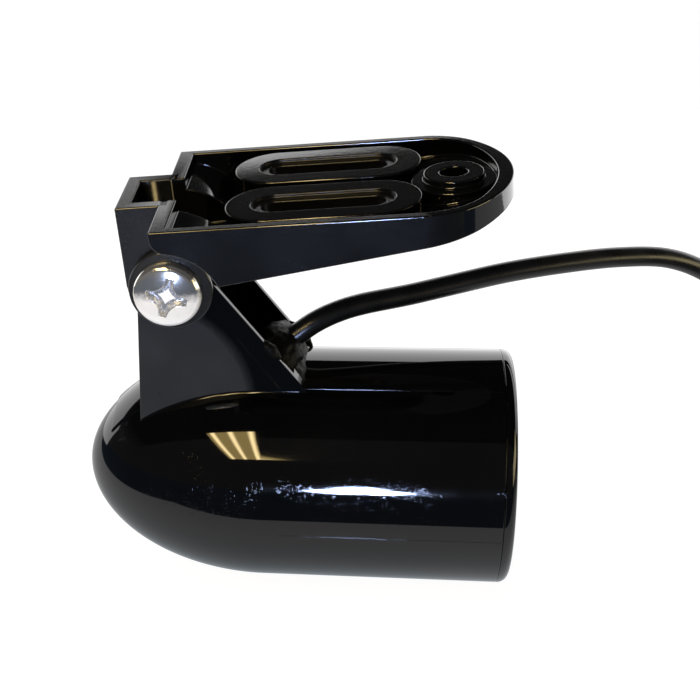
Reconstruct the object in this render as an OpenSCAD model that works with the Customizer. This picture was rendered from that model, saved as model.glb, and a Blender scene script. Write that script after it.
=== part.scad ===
// Transom-mounted sonar transducer, folded: a bullet-shaped pod on a hollow stem that turns on its bracket.
// Millimetres, +Z up. X runs along the pod from nose to tail.
// The origin is the mouth of the bracket's round screw hole, in the plane that meets the transom.

/* [Pod] */
// Length of the pod from the nose tip to the tail face
pod_l = 98; // [94:1:108]
// Diameter where the nose meets the barrel
pod_front_d = 53.4; // [52:0.2:56]
// Diameter at the tail, larger by the mould's draft
pod_tail_d = 54.6; // [53:0.2:58]
// Length of the rounded nose
nose_l = 42; // [38:1:46]
// Roundness of the nose outline, where 2 is an ellipse
nose_power = 1.95; // [1.8:0.05:2.2]
// Wall between the barrel and the filled cavity
pod_wall = 3.2; // [2.6:0.2:4]
// Wall ahead of the filled cavity, measured across the pod
nose_wall = 8.3; // [7.6:0.1:10]
// Thickness of the tail cap's rim
cap_t = 2.6; // [2.4:0.2:4]
// Radius of the tail cap's outer edge
cap_edge_r = 2.3; // [1:0.1:2.4]
// Length of the tail cap's spigot
spigot_l = 4; // [3:0.5:6]

/* [Stem] */
// Height of the pivot above the pod's axis
pivot_h = 49.4; // [48:0.2:54]
// Distance of the pivot behind the nose tip
pivot_back = 22.6; // [21:0.2:26]
// Width over the two ears
stem_w = 22.4; // [21:0.2:25]
// Thickness of each ear and side wall
ear_wall = 1.5; // [1.2:0.1:2]
// Radius of the ears around the pivot
ear_r = 7.5; // [7:0.1:8.4]
// How far the front edge leans forward at the pod's axis
front_lean = 1.5; // [0.5:0.1:2.5]
// Slope of the rear edges from the horizontal
rear_angle = 52; // [48:1:56]
// Thickness of the floor over the barrel
stem_floor_t = 1.2; // [1:0.1:2]
// Thickness of the front web
web_t = 1.6; // [1.2:0.1:2.4]
// Drop of the front web's top below the pivot
web_drop = 13; // [12.6:0.2:15]
// Length of the low pad on the nose ahead of the stem
nose_pad_l = 7; // [5:0.5:8]
// Width of the nose pad
nose_pad_w = 17; // [14:0.5:20]
// Height of the nose pad over the nose
nose_pad_h = 0.5; // [0.3:0.1:0.8]

/* [Bracket] */
// Tilt of the bracket over the pod as folded
fold_tilt = 5.2; // [0:0.1:8]
// Height of the rim above the pivot
rim_h = 18; // [17.4:0.2:20]
// Thickness of the tray's rim at its front and its round end
rim_t = 3.4; // [2.8:0.2:4]
// Thickness of the tray's rim along its sides
side_t = 2.2; // [1.8:0.1:3]
// Width of the tray
tray_w = 48.2; // [46:0.2:52]
// Start of the tray, measured from the pivot
tray_start = -0.6; // [-1:0.1:0.4]
// Round end of the tray, measured from the pivot
tray_end = 74; // [72:0.5:80]
// Depth of the rounded end
end_depth = 19.3; // [18.4:0.1:21]
// Radius of the end's two corners
corner_r = 16; // [14:0.5:17]
// Height of the underside line at the pivot
under_h = 3.5; // [3:0.1:4]
// Slope of the underside
under_angle = 7.7; // [7:0.1:8.2]
// Thickness of the tray's floor
floor_t = 2.5; // [2:0.1:3]
// Radius of the arch over the pivot's hardware
arch_r = 13.2; // [12.6:0.1:13.6]
// Thickness of the arch
arch_t = 2.5; // [2:0.1:2.6]
// Rounding of the arch's front corner
arch_corner_r = 3.2; // [2:0.1:3.6]
// Front of the neck, measured from the pivot
neck_start = -10; // [-11:0.1:-9.4]
// Wall of the neck
neck_wall = 3.1; // [2.4:0.1:3.6]
// Radius of the neck around the pivot
neck_r = 10; // [9.6:0.1:10.6]
// Height of the neck well's floor above the pivot
well_floor = 5; // [4.4:0.1:6]

/* [Screw slots and hole] */
// Length of each slot
slot_l = 26; // [22:0.5:28]
// Width of each slot
slot_w = 5.5; // [5:0.1:6.5]
// Middle of the slots, measured from the pivot
slot_x = 34; // [33:0.2:35]
// Sideways distance of each slot from the middle
slot_y = 10.7; // [10.4:0.1:11]
// Length of a slot's boss
slot_boss_l = 41; // [38:0.5:42]
// Width of a slot's boss
slot_boss_w = 19; // [17:0.2:19.4]
// Depth of the slot bosses' tops below the rim
slot_boss_drop = 0.4; // [0:0.1:1]
// Margin of the shallow recess around a slot
slot_recess = 2; // [1:0.1:3]
// Depth of that recess
slot_recess_d = 0.8; // [0.4:0.1:1.2]
// Diameter of the round screw hole
hole_d = 6; // [5:0.1:6.5]
// Place of the round screw hole, measured from the pivot
hole_x = 61.3; // [61:0.1:62.4]
// Diameter of the round hole's raised ring
hole_ring_d = 13; // [11:0.5:14]
// Diameter of the disc under the ring
hole_disc_d = 18.4; // [16:0.2:18.6]
// Height of the ring over its disc
hole_ring_h = 1.5; // [1:0.1:1.8]

/* [Pivot hardware] */
// Diameter of the pivot screw
screw_d = 6.35; // [5:0.05:7]
// Diameter of the screw's head
head_d = 14.6; // [13:0.2:16]
// Height of the screw's head
head_h = 4.2; // [3.4:0.1:5]
// Span of the head's cross recess
recess_span = 9; // [8:0.1:10]
// Width of the recess's arms
recess_w = 1.75; // [1.4:0.05:2]
// Depth of the recess
recess_d = 3.1; // [2.4:0.1:3.2]
// Diameter of the washers
washer_d = 18; // [16:0.2:19]
// Thickness of a washer
washer_t = 2; // [1.4:0.1:2.4]
// Lock nut across its flats
nut_af = 11.1; // [10:0.1:13]
// Height of the lock nut's hexagon
nut_h = 5.5; // [4.6:0.1:6]
// Height of the collar that holds the nut's insert
nut_collar_h = 2.2; // [1.8:0.1:3]

/* [Element] */
// Diameter of the piezo ceramic disc
piezo_d = 25; // [20:0.5:26]
// Thickness of the piezo ceramic disc
piezo_t = 10; // [8:0.5:11]
// Place of the element behind the nose tip
piezo_x = 64; // [60:0.5:66]
// Thickness of the backing pad
pad_t = 3; // [2:0.5:4]
// Outside diameter of the isolation ring
ring_d = 31; // [29.6:0.2:32]
// Clearance of the element above the cavity's wall
element_gap = 1; // [0.6:0.1:2]
// Diameter of the lead wires
lead_d = 1; // [0.6:0.1:1.2]

/* [Cable and connector] */
// Diameter of the cable
cable_d = 5; // [4:0.1:5.2]
// Slope at which the cable leaves the stem
exit_angle = 50; // [46:1:54]
// Distance of the cable's way out behind the stem's rear edge
exit_back = 0.7; // [0:0.1:1.4]
// Height of the cable's way out above the stem's floor
exit_rise = 3.1; // [2.6:0.1:3.6]
// Length of the straight cable inside the stem and the pod
entry_l = 16; // [15:0.5:18]
// Radius of the sealant around the cable
seal_r = 8; // [7:0.5:9]
// Width of a coil tie
tie_w = 5; // [3:0.5:8]
// Thickness of a coil tie
tie_t = 1; // [0.6:0.1:1]
// Length of the connector's boot
boot_l = 16; // [12:0.5:18]
// Diameter of the connector's body
plug_d = 15; // [13:0.5:16]
// Length of the connector's body
plug_l = 20; // [16:0.5:22]
// Diameter of the connector's locking collar
collar_d = 19; // [18:0.2:19]
// Length of the locking collar
collar_l = 14; // [12:0.5:15]
// Number of contact pins
pin_count = 4; // [3:1:6]

/* [Hidden] */
$fn = 64;
fine_fn = 128;

// Clearances
side_gap = 0.25;
run_gap = 0.08;
fit_gap = 0.1;
hole_gap = 0.15;
// How far a cut runs past the face that it opens
over = 1;

// Place of the pivot in the part's frame, from the round hole's mouth at the origin
pivot = [
    rim_h * sin(fold_tilt) - hole_x * cos(fold_tilt), 0,
    -rim_h * cos(fold_tilt) - hole_x * sin(fold_tilt)
];
// Place of the nose tip on the pod's axis
nose_tip = pivot - [pivot_back, 0, pivot_h];

// Pod
cavity_r = pod_front_d / 2 - pod_wall;
cavity_front = nose_l / 2;
barrel_end = pod_l - cap_t;
nose_steps = 28;
function pod_r(x) =
    x < nose_l
        ? pod_front_d / 2 * pow(1 - pow((nose_l - x) / nose_l, nose_power), 1 / nose_power)
        : pod_front_d / 2 + (pod_tail_d - pod_front_d) / 2 * (x - nose_l) / (pod_l - nose_l);
// Nose stations crowd towards the tip, where the outline turns fastest
function nose_x(i) = nose_l * (1 - cos(90 * i / nose_steps));
cavity_front_r = pod_r(cavity_front) - nose_wall;

// Stem, with the pivot at the origin of its side outline
stem_half = stem_w / 2;
inner_half = stem_half - ear_wall;
front_foot_x = -ear_r - front_lean;
rear_touch = ear_r * [sin(rear_angle), cos(rear_angle)];
rear_run = (rear_touch.y + pivot_h) / sin(rear_angle);
rear_foot = rear_touch + rear_run * [cos(rear_angle), -sin(rear_angle)];
// The rear edge's place at a height over the pod's axis, from the nose tip
function rear_edge_x(z) = pivot_back + rear_touch.x + (rear_touch.y + pivot_h - z) / tan(rear_angle);
hollow_floor = pod_tail_d / 2 + stem_floor_t - pivot_h;
hollow_rear = rear_foot.x + over;

// Bracket
neck_half = inner_half - side_gap;
well_half = neck_half - neck_wall;
corner_x = tray_end - end_depth;
corner_y = tray_w / 2 - corner_r;
hump_r = arch_r + arch_t;
arch_corner_x = tray_start + arch_corner_r;
arch_corner = [arch_corner_x, sqrt(pow(arch_r + arch_corner_r, 2) - pow(arch_corner_x, 2))];
function under_z(x) = under_h + x * tan(under_angle);
function floor_z(x) = under_z(x) + floor_t / cos(under_angle);
// What stands on the floor or meets the arch starts a little way up inside the moulding
fill_rise = 0.3;
function fill_z(x) = under_z(x) + fill_rise;

// Pivot hardware, along +Y from the stem's middle
washer_out = stem_half + washer_t;
nut_out = washer_out + nut_h;
screw_proud = 1.2;
screw_end = nut_out + nut_collar_h + screw_proud;
screw_r = screw_d / 2;
ear_hole_r = screw_r + hole_gap;
head_ball_r = (pow(head_d / 2, 2) + pow(head_h, 2)) / (2 * head_h);
recess_turn = 12;
insert_wall = 1.3;
collar_lip = 0.8;
insert_r = screw_r + insert_wall;
insert_h = nut_collar_h - collar_lip;
nut_collar_r = insert_r + collar_lip;

// Element, from the nose tip on the pod's axis
element_z = -sqrt(pow(cavity_r, 2) - pow(ring_d / 2, 2)) + element_gap;
piezo_top = element_z + piezo_t;
pad_top = piezo_top + pad_t;
lead_r = lead_d / 2;
ground_r = (piezo_d + ring_d) / 4;

// Cable where it is straight, from the nose tip: through the barrel's top and out over the stem's floor
cable_r = cable_d / 2;
exit_dir = [cos(exit_angle), 0, sin(exit_angle)];
cable_out_z = pod_tail_d / 2 + stem_floor_t + exit_rise;
cable_out = [rear_edge_x(cable_out_z) + exit_back, 0, cable_out_z];
cable_in = cable_out - entry_l * exit_dir;
cable_bore_r = cable_r + fit_gap;
seal_back = 3.5;
seal_flare = 0.3;
lead_joint_l = 1.5;
// Cable core ends, one each side of the pod's middle plane
function core_end(side) = cable_in + [0, side * cable_r / 2, 0];
signal_rise = 3;
ground_rise = 1.5;
ground_reach = piezo_d / 4;
signal_path = [
    [piezo_x, 0, piezo_top], [piezo_x, 0, pad_top + signal_rise],
    core_end(1) - lead_joint_l * exit_dir, core_end(1)
];
ground_x = piezo_x - ground_r;
ground_z = element_z - lead_r;
ground_path = [
    [ground_x + ground_reach, 0, ground_z], [ground_x, 0, ground_z], [ground_x, 0, pad_top + ground_rise],
    core_end(-1) - lead_joint_l * exit_dir, core_end(-1)
];
lead_side = [0, 1, 0];

// Route of the cable's free stretch, in the part's frame
cable_route = [
    [-30, 1.5, -37.6], [-25, 4, -35.9], [-19, 7, -35.1], [-8, 12.5, -35], [3, 18, -34.5], [15, 23.5, -33.8],
    [29, 30, -34], [43, 36.5, -35], [56, 42.5, -37.5], [67, 47.5, -43], [76, 51.5, -51], [83, 55, -61],
    [89, 57.7, -72], [96, 61, -82.5], [105, 65, -91], [113, 68.7, -95.5], [120, 72, -96.5]
];
// Coil on the floor beside the part, and the cable's last stretch over its top
coil_at = [137, 36, -99];
coil_mid_r = 30;
coil_w = 25;
coil_h = 30;
coil_chamfer = 2;
coil_top = coil_at.z + coil_h;
tail_route = [
    [157, 70.6, -71.5], [168, 62, -70.8], [175, 50, -69], [177, 36, -66], [174, 25, -63.5], [166, 17, -61],
    [155, 14, -59.2], [153, 14, -59.2]
];
plug_at = tail_route[len(tail_route) - 1];
tie_angles = [75, 255];
tie_gap = 0.2;
tube_sides = 10;
// Directions that the rings of the two stretches are turned by
run_side = [-0.35, 0.93, 0.1];
tail_side = [0.2, 0.1, 1];

// Connector, from the cable's end along its axis
boot_wall = 1;
boot_step = 2;
plug_end = boot_l + plug_l;
insert_back = 3;
pin_r = 0.8;
pin_l = 6;
pin_circle_r = plug_d / 4;
collar_wall = 1.6;
collar_from = plug_end - collar_l / 2;
groove_d = 0.5;
groove_w = 1;
groove_count = 3;
groove_pitch = plug_l / 6;
flute_count = 24;
flute_l = collar_l * 2 / 3;

// Tube along a list of points, one ring at each
function unit(v) = v / norm(v);
function heading(path, i) = unit(path[min(i + 1, len(path) - 1)] - path[max(i - 1, 0)]);
function ring_points(path, i, r, side) =
    let (t = heading(path, i), u = unit(cross(t, side)), w = cross(t, u))
    [for (k = [0 : tube_sides - 1]) let (a = 360 * k / tube_sides) path[i] + r * (cos(a) * u + sin(a) * w)];
function ring_faces(i) =
    let (a = i * tube_sides, b = a + tube_sides)
    [for (k = [0 : tube_sides - 1]) let (next = (k + 1) % tube_sides)
        each [[a + k, b + k, a + next], [a + next, b + k, b + next]]];
module tube(path, r, side) {
    last = (len(path) - 1) * tube_sides;
    polyhedron(
        points = [for (i = [0 : len(path) - 1]) each ring_points(path, i, r, side)],
        faces = concat(
            [[for (k = [0 : tube_sides - 1]) k]],
            [for (i = [0 : len(path) - 2]) each ring_faces(i)],
            [[for (k = [tube_sides - 1 : -1 : 0]) last + k]]
        )
    );
}

// Frames of the two bodies, and of things that lie along the pod's axis or the pivot's
module in_pod() translate(nose_tip) children();
module in_bracket() translate(pivot) rotate([0, -fold_tilt, 0]) children();
module along_x() rotate([90, 0, 90]) children();
module along_pivot() translate(pivot) rotate([-90, 0, 0]) children();
// Extrudes a side outline, drawn in X and Z, evenly to both sides
module from_side(width) rotate([90, 0, 0]) linear_extrude(width, center = true) children();
// A cylinder between two points
module rod(a, b, r) {
    d = b - a;
    translate(a)
        rotate([0, acos(d.z / norm(d)), atan2(d.y, d.x)])
            cylinder(h = norm(d), r = r);
}
// A round-ended outline
module stadium(length, width) {
    straight = length - width;
    square([straight, width], center = true);
    for (s = [-1, 1]) translate([s * straight / 2, 0]) circle(d = width);
}

// Solid of revolution along the pod, grown outwards by a margin, up to a station
module pod_solid(grow, x_end) {
    along_x() rotate_extrude($fn = fine_fn)
        polygon(concat(
            [[0, 0]],
            [for (i = [1 : nose_steps]) [pod_r(nose_x(i)) + grow, nose_x(i)]],
            [[pod_r(x_end) + grow, x_end], [0, x_end]]
        ));
}
module cavity() {
    along_x() rotate_extrude()
        polygon([
            [0, cavity_front], [cavity_front_r, cavity_front], [cavity_r, nose_l],
            [cavity_r, barrel_end + over], [0, barrel_end + over]
        ]);
}
// Bore for the straight cable, starting a little way ahead of the cable's end
module cable_bore(ahead) rod(cable_in - ahead * exit_dir, cable_out + over * exit_dir, cable_bore_r);

module stem_side() {
    circle(ear_r);
    polygon([[-ear_r, 0], [0, 0], rear_touch, rear_foot, [front_foot_x, -pivot_h]]);
}
module stem_hollow() {
    gap = 2 * inner_half;
    // Open around the neck, above the front web
    translate([-ear_r - 2 * over, -inner_half, -web_drop])
        cube([hollow_rear + ear_r, gap, web_drop + 2 * ear_r]);
    // Behind the front web, down to the floor
    translate([front_foot_x + web_t + front_lean, -inner_half, hollow_floor])
        cube([hollow_rear - front_foot_x, gap, -hollow_floor]);
}

module pod_housing() {
    color([0.03, 0.03, 0.035])
    in_pod() difference() {
        union() {
            pod_solid(0, barrel_end);
            translate([pivot_back, 0, pivot_h]) from_side(stem_w) stem_side();
            // Low pad on the nose ahead of the stem
            intersection() {
                pod_solid(nose_pad_h, nose_l);
                translate([pivot_back + front_foot_x - nose_pad_l, -nose_pad_w / 2, 0])
                    cube([nose_pad_l + web_t + front_lean, nose_pad_w, pod_front_d]);
            }
        }
        cavity();
        translate([pivot_back, 0, pivot_h]) stem_hollow();
        translate([pivot_back, 0, pivot_h]) rotate([90, 0, 0])
            cylinder(h = stem_w + 2 * over, r = ear_hole_r, center = true);
        cable_bore(over);
    }
}

module tail_cap() {
    cap_r = pod_r(barrel_end);
    color([0.035, 0.035, 0.04])
    in_pod() along_x() rotate_extrude($fn = fine_fn) {
        // Spigot
        translate([0, barrel_end - spigot_l]) square([cavity_r - fit_gap, spigot_l]);
        // Disc with a rounded outer edge
        translate([0, barrel_end]) square([cap_r - cap_edge_r, cap_t]);
        translate([0, barrel_end]) square([cap_r, cap_t - cap_edge_r]);
        intersection() {
            translate([cap_r - cap_edge_r, pod_l - cap_edge_r]) circle(cap_edge_r);
            translate([0, pod_l - cap_edge_r]) square([cap_r, cap_edge_r]);
        }
    }
}

module element_column(d, z0, z1, grow) {
    translate([piezo_x, 0, z0 - grow]) cylinder(h = z1 - z0 + 2 * grow, r = d / 2 + grow);
}
module piezo_disc() {
    color([0.78, 0.76, 0.7]) in_pod() element_column(piezo_d, element_z, piezo_top, 0);
}
module backing_pad() {
    color([0.5, 0.36, 0.22]) in_pod() difference() {
        element_column(piezo_d, piezo_top, pad_top, 0);
        // Way through for the signal lead
        element_column(lead_d, piezo_top - over, pad_top + over, fit_gap);
    }
}
module isolation_ring() {
    color([0.12, 0.12, 0.12]) in_pod() difference() {
        element_column(ring_d, element_z, pad_top, 0);
        element_column(piezo_d, element_z - over, pad_top + over, fit_gap);
        translate([ground_x, 0, element_z - over])
            cylinder(h = pad_top - element_z + 2 * over, r = lead_r + fit_gap);
    }
}

// Way of a lead through the potting up to the cable's bore, each stretch running past its bends
module lead_way(path, r) {
    for (i = [0 : len(path) - 3]) {
        past = r * unit(path[i + 1] - path[i]);
        rod(path[i] - past, path[i + 1] + past, r);
    }
}
module signal_lead() color([0.75, 0.1, 0.08]) in_pod() tube(signal_path, lead_r, lead_side);
module ground_lead() color([0.72, 0.45, 0.2]) in_pod() tube(ground_path, lead_r, lead_side);

module potting() {
    color([0.1, 0.09, 0.08])
    in_pod() difference() {
        along_x() rotate_extrude()
            polygon([
                [0, cavity_front + fit_gap], [cavity_front_r - fit_gap, cavity_front + fit_gap],
                [cavity_r - fit_gap, nose_l], [cavity_r - fit_gap, barrel_end - spigot_l - fit_gap],
                [0, barrel_end - spigot_l - fit_gap]
            ]);
        element_column(ring_d, element_z, pad_top, fit_gap);
        // The cores leave the cable inside this bore
        cable_bore(lead_joint_l + over);
        lead_way(signal_path, lead_r + fit_gap);
        lead_way(ground_path, lead_r + fit_gap);
    }
}

// Outline of the tray from above, drawn in from its sides and from its two ends
module tray_plan(side_in, end_in) {
    half = tray_w / 2 - side_in;
    depth = end_depth - end_in;
    r = corner_r - side_in;
    // Large arc of the round end, tangent to its two corners
    end_r = (pow(depth, 2) + pow(corner_y, 2) - pow(r, 2)) / (2 * (depth - r));
    end_x = corner_x + depth - end_r;
    reach = 2 * end_r / norm([corner_x - end_x, corner_y]);
    translate([tray_start + end_in, -half]) square([corner_x - tray_start - end_in, 2 * half]);
    for (s = [-1, 1]) translate([corner_x, s * corner_y]) circle(r);
    intersection() {
        translate([end_x, 0]) circle(end_r, $fn = fine_fn);
        polygon([
            [end_x, 0], [end_x + reach * (corner_x - end_x), -reach * corner_y],
            [end_x + 2 * end_r, 0], [end_x + reach * (corner_x - end_x), reach * corner_y]
        ]);
    }
}
// Outline of the tray from the side: a wedge with an arch over the pivot's hardware
module tray_side() {
    inward = (arch_r - over) / norm(arch_corner);
    difference() {
        polygon([
            [tray_start, rim_h], [tray_end, rim_h],
            [tray_end, under_z(tray_end)], [tray_start, under_z(tray_start)]
        ]);
        circle(arch_r, $fn = fine_fn);
        difference() {
            polygon([
                [tray_start - over, arch_corner.y], arch_corner, inward * arch_corner,
                [tray_start - over, inward * arch_corner.y]
            ]);
            translate(arch_corner) circle(arch_corner_r);
        }
    }
}
// What is hollow inside the tray, from the side: everything above the floor and the arch
module pocket_side() {
    difference() {
        polygon([
            [tray_start, rim_h + over], [tray_end, rim_h + over], [tray_end, floor_z(tray_end)],
            [tray_start, floor_z(tray_start)]
        ]);
        circle(hump_r, $fn = fine_fn);
    }
}
// Where the bosses may be, from the side: from inside the floor and the arch up to the rim
module boss_side() {
    difference() {
        polygon([
            [tray_start, rim_h + over], [tray_end, rim_h + over],
            [tray_end, fill_z(tray_end)], [tray_start, fill_z(tray_start)]
        ]);
        circle(arch_r + arch_t / 2, $fn = fine_fn);
    }
}
module neck_side() {
    translate([neck_start, 0]) square([tray_start + rim_t / 2 - neck_start, rim_h]);
    circle(neck_r);
    // What fills the arch between the ears, ending inside the arch's own wall
    intersection() {
        circle(arch_r + arch_t / 2, $fn = fine_fn);
        polygon([
            [tray_start, rim_h - over], [hump_r, rim_h - over],
            [hump_r, fill_z(hump_r)], [tray_start, fill_z(tray_start)]
        ]);
    }
}
module well_side() {
    well_start = neck_start + neck_wall;
    channel_end = hump_r + over;
    translate([well_start, well_floor]) square([-2 * well_start, rim_h + over - well_floor]);
    // Channel into the tray, down to its floor
    polygon([
        [0, rim_h + over], [channel_end, rim_h + over],
        [channel_end, floor_z(channel_end)], [0, floor_z(0)]
    ]);
}
module slot_places() for (s = [-1, 1]) translate([slot_x, s * slot_y]) children();

module bracket() {
    color([0.05, 0.05, 0.055])
    in_bracket() difference() {
        union() {
            difference() {
                union() {
                    difference() {
                        intersection() {
                            linear_extrude(rim_h) tray_plan(0, 0);
                            from_side(tray_w + 2 * over) tray_side();
                        }
                        intersection() {
                            linear_extrude(rim_h + over) tray_plan(side_t, rim_t);
                            from_side(tray_w) pocket_side();
                        }
                    }
                    from_side(2 * neck_half) neck_side();
                }
                from_side(2 * well_half) well_side();
            }
            // Bosses of the slots and of the round hole, standing on the floor
            intersection() {
                union() {
                    linear_extrude(rim_h - slot_boss_drop) slot_places() stadium(slot_boss_l, slot_boss_w);
                    translate([hole_x, 0]) cylinder(h = rim_h - hole_ring_h, d = hole_disc_d);
                    translate([hole_x, 0]) cylinder(h = rim_h, d = hole_ring_d);
                }
                from_side(tray_w) boss_side();
            }
        }
        translate([0, 0, -over]) linear_extrude(rim_h + 2 * over) slot_places() stadium(slot_l, slot_w);
        translate([0, 0, rim_h - slot_boss_drop - slot_recess_d])
            linear_extrude(rim_h) slot_places() stadium(slot_l + 2 * slot_recess, slot_w + 2 * slot_recess);
        translate([hole_x, 0, -over]) cylinder(h = rim_h + 2 * over, d = hole_d);
        rotate([90, 0, 0]) cylinder(h = tray_w, r = screw_r + run_gap, center = true);
    }
}

// Washer with its own hole, from a distance along the pivot
module washer(from) {
    along_pivot() translate([0, 0, from]) difference() {
        cylinder(h = washer_t, d = washer_d);
        translate([0, 0, -over]) cylinder(h = washer_t + 2 * over, r = ear_hole_r);
    }
}
module head_washer() color([0.04, 0.04, 0.045]) washer(-washer_out);
module nut_washer() color([0.04, 0.04, 0.045]) washer(stem_half);

module pivot_screw() {
    color([0.78, 0.77, 0.75])
    along_pivot() difference() {
        union() {
            translate([0, 0, -washer_out]) cylinder(h = washer_out + screw_end, r = screw_r);
            // Domed head
            intersection() {
                translate([0, 0, head_ball_r - washer_out - head_h]) sphere(head_ball_r, $fn = fine_fn);
                translate([0, 0, -washer_out - head_h]) cylinder(h = head_h, d = head_d);
            }
        }
        // Cross recess that narrows inwards
        intersection() {
            translate([0, 0, -washer_out - head_h - over])
                cylinder(h = recess_d + over, r1 = recess_span / 2 + over, r2 = recess_w);
            for (a = [0, 90])
                rotate(recess_turn + a) translate([-head_d / 2, -recess_w / 2, -washer_out - head_h - over])
                    cube([head_d, recess_w, recess_d + over]);
        }
    }
}
module lock_nut() {
    color([0.72, 0.72, 0.72])
    along_pivot() difference() {
        union() {
            translate([0, 0, washer_out]) cylinder(h = nut_h, d = nut_af / cos(30), $fn = 6);
            translate([0, 0, nut_out]) cylinder(h = nut_collar_h, r = nut_collar_r);
        }
        translate([0, 0, washer_out - over])
            cylinder(h = nut_h + nut_collar_h + 2 * over, r = screw_r + run_gap);
        translate([0, 0, nut_out + nut_collar_h - insert_h])
            cylinder(h = insert_h + over, r = insert_r + run_gap);
    }
}
module nut_insert() {
    color([0.2, 0.3, 0.65])
    along_pivot() translate([0, 0, nut_out + nut_collar_h - insert_h]) difference() {
        cylinder(h = insert_h, r = insert_r);
        translate([0, 0, -over]) cylinder(h = insert_h + 2 * over, r = screw_r + run_gap);
    }
}

// Sealant between the stem's walls, over the floor, around the cable
module cable_seal() {
    color([0.02, 0.02, 0.02])
    in_pod() difference() {
        intersection() {
            translate(cable_out - seal_back * exit_dir) sphere(seal_r);
            translate([0, -inner_half + fit_gap, pivot_h + hollow_floor + fit_gap])
                cube([pod_l, 2 * (inner_half - fit_gap), pivot_h]);
        }
        rod(cable_in, cable_out + over * exit_dir, cable_bore_r);
        // Flare where the cable starts to bend
        translate(cable_out) rotate([0, 90 - exit_angle, 0])
            cylinder(h = seal_r, r1 = cable_bore_r, r2 = cable_bore_r + seal_flare * seal_r);
    }
}
module cable_run() {
    straight = [for (s = [0, 0.5, 1]) nose_tip + cable_in + s * entry_l * exit_dir];
    color([0.04, 0.04, 0.045]) tube(concat(straight, cable_route), cable_r, run_side);
}
module cable_coil() {
    half = [coil_w / 2, coil_h / 2];
    color([0.04, 0.04, 0.045])
    translate(coil_at) rotate_extrude()
        translate([coil_mid_r, half.y])
            polygon([
                [half.x, coil_chamfer - half.y], [half.x, half.y - coil_chamfer],
                [half.x - coil_chamfer, half.y], [coil_chamfer - half.x, half.y],
                [-half.x, half.y - coil_chamfer], [-half.x, coil_chamfer - half.y],
                [coil_chamfer - half.x, -half.y], [half.x - coil_chamfer, -half.y]
            ]);
}
module coil_ties() {
    outer = tie_t + tie_gap;
    color([0.06, 0.06, 0.06])
    translate(coil_at) for (a = tie_angles)
        rotate(a) translate([coil_mid_r - coil_w / 2, -tie_w / 2, 0]) difference() {
            translate([-outer, 0, -outer]) cube([coil_w + 2 * outer, tie_w, coil_h + 2 * outer]);
            translate([-tie_gap, -over, -tie_gap])
                cube([coil_w + 2 * tie_gap, tie_w + 2 * over, coil_h + 2 * tie_gap]);
        }
}
module cable_tail() {
    color([0.04, 0.04, 0.045]) tube(tail_route, cable_r, tail_side);
}

// Connector, lying on the coil and pointing along -X from the cable's end
module along_plug() translate(plug_at) rotate([0, -90, 0]) children();
module plug_boot() {
    color([0.05, 0.05, 0.05])
    along_plug() cylinder(h = boot_l, r1 = cable_r + boot_wall, r2 = plug_d / 2 - boot_step);
}
module plug_body() {
    color([0.06, 0.06, 0.065])
    along_plug() difference() {
        translate([0, 0, boot_l]) cylinder(h = plug_l, d = plug_d);
        // Grip grooves
        for (k = [1 : groove_count]) translate([0, 0, boot_l + k * groove_pitch]) difference() {
            cylinder(h = groove_w, d = plug_d + over);
            translate([0, 0, -over]) cylinder(h = groove_w + 2 * over, d = plug_d - 2 * groove_d);
        }
        // Seat of the contact insert
        translate([0, 0, plug_end - insert_back])
            cylinder(h = insert_back + over, d = plug_d - 2 * collar_wall);
    }
}
module plug_collar() {
    color([0.09, 0.09, 0.095])
    along_plug() translate([0, 0, collar_from]) difference() {
        cylinder(h = collar_l, d = collar_d);
        translate([0, 0, -over]) cylinder(h = collar_l + 2 * over, d = plug_d + 2 * fit_gap);
        for (k = [0 : flute_count - 1])
            rotate(360 * k / flute_count) translate([collar_d / 2, 0, (collar_l - flute_l) / 2])
                cylinder(h = flute_l, r = groove_d);
    }
}
module plug_insert() {
    color([0.7, 0.68, 0.6])
    along_plug() translate([0, 0, plug_end - insert_back]) difference() {
        cylinder(h = insert_back, d = plug_d - 2 * collar_wall - 2 * fit_gap);
        pin_places() translate([0, 0, -over])
            cylinder(h = insert_back + 2 * over, r = pin_r + fit_gap / 2);
    }
}
module pin_places() {
    for (k = [0 : pin_count - 1]) rotate(360 * k / pin_count) translate([pin_circle_r, 0, 0]) children();
}
module plug_pins() {
    color([0.85, 0.7, 0.35])
    along_plug() translate([0, 0, plug_end - insert_back])
        pin_places() cylinder(h = pin_l + insert_back, r = pin_r);
}

bracket();
pod_housing();
tail_cap();
potting();
piezo_disc();
backing_pad();
isolation_ring();
signal_lead();
ground_lead();
pivot_screw();
head_washer();
nut_washer();
lock_nut();
nut_insert();
cable_seal();
cable_run();
cable_coil();
coil_ties();
cable_tail();
plug_boot();
plug_body();
plug_collar();
plug_insert();
plug_pins();
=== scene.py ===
import math

import bmesh
import bpy
import numpy as np
from mathutils import Matrix, Vector, noise


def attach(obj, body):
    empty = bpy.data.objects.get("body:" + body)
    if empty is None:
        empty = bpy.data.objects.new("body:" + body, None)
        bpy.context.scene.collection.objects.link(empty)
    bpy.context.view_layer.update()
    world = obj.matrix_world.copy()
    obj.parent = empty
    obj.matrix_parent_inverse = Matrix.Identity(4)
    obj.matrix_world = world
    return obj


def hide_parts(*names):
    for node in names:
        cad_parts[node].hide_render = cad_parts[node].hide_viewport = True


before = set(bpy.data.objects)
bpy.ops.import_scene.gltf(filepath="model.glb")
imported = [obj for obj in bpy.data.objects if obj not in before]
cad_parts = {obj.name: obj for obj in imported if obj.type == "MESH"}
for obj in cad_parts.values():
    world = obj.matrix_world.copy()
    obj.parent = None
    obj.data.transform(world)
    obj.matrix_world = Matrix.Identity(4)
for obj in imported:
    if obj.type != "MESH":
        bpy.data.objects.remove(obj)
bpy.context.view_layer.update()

MM = 0.001

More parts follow.
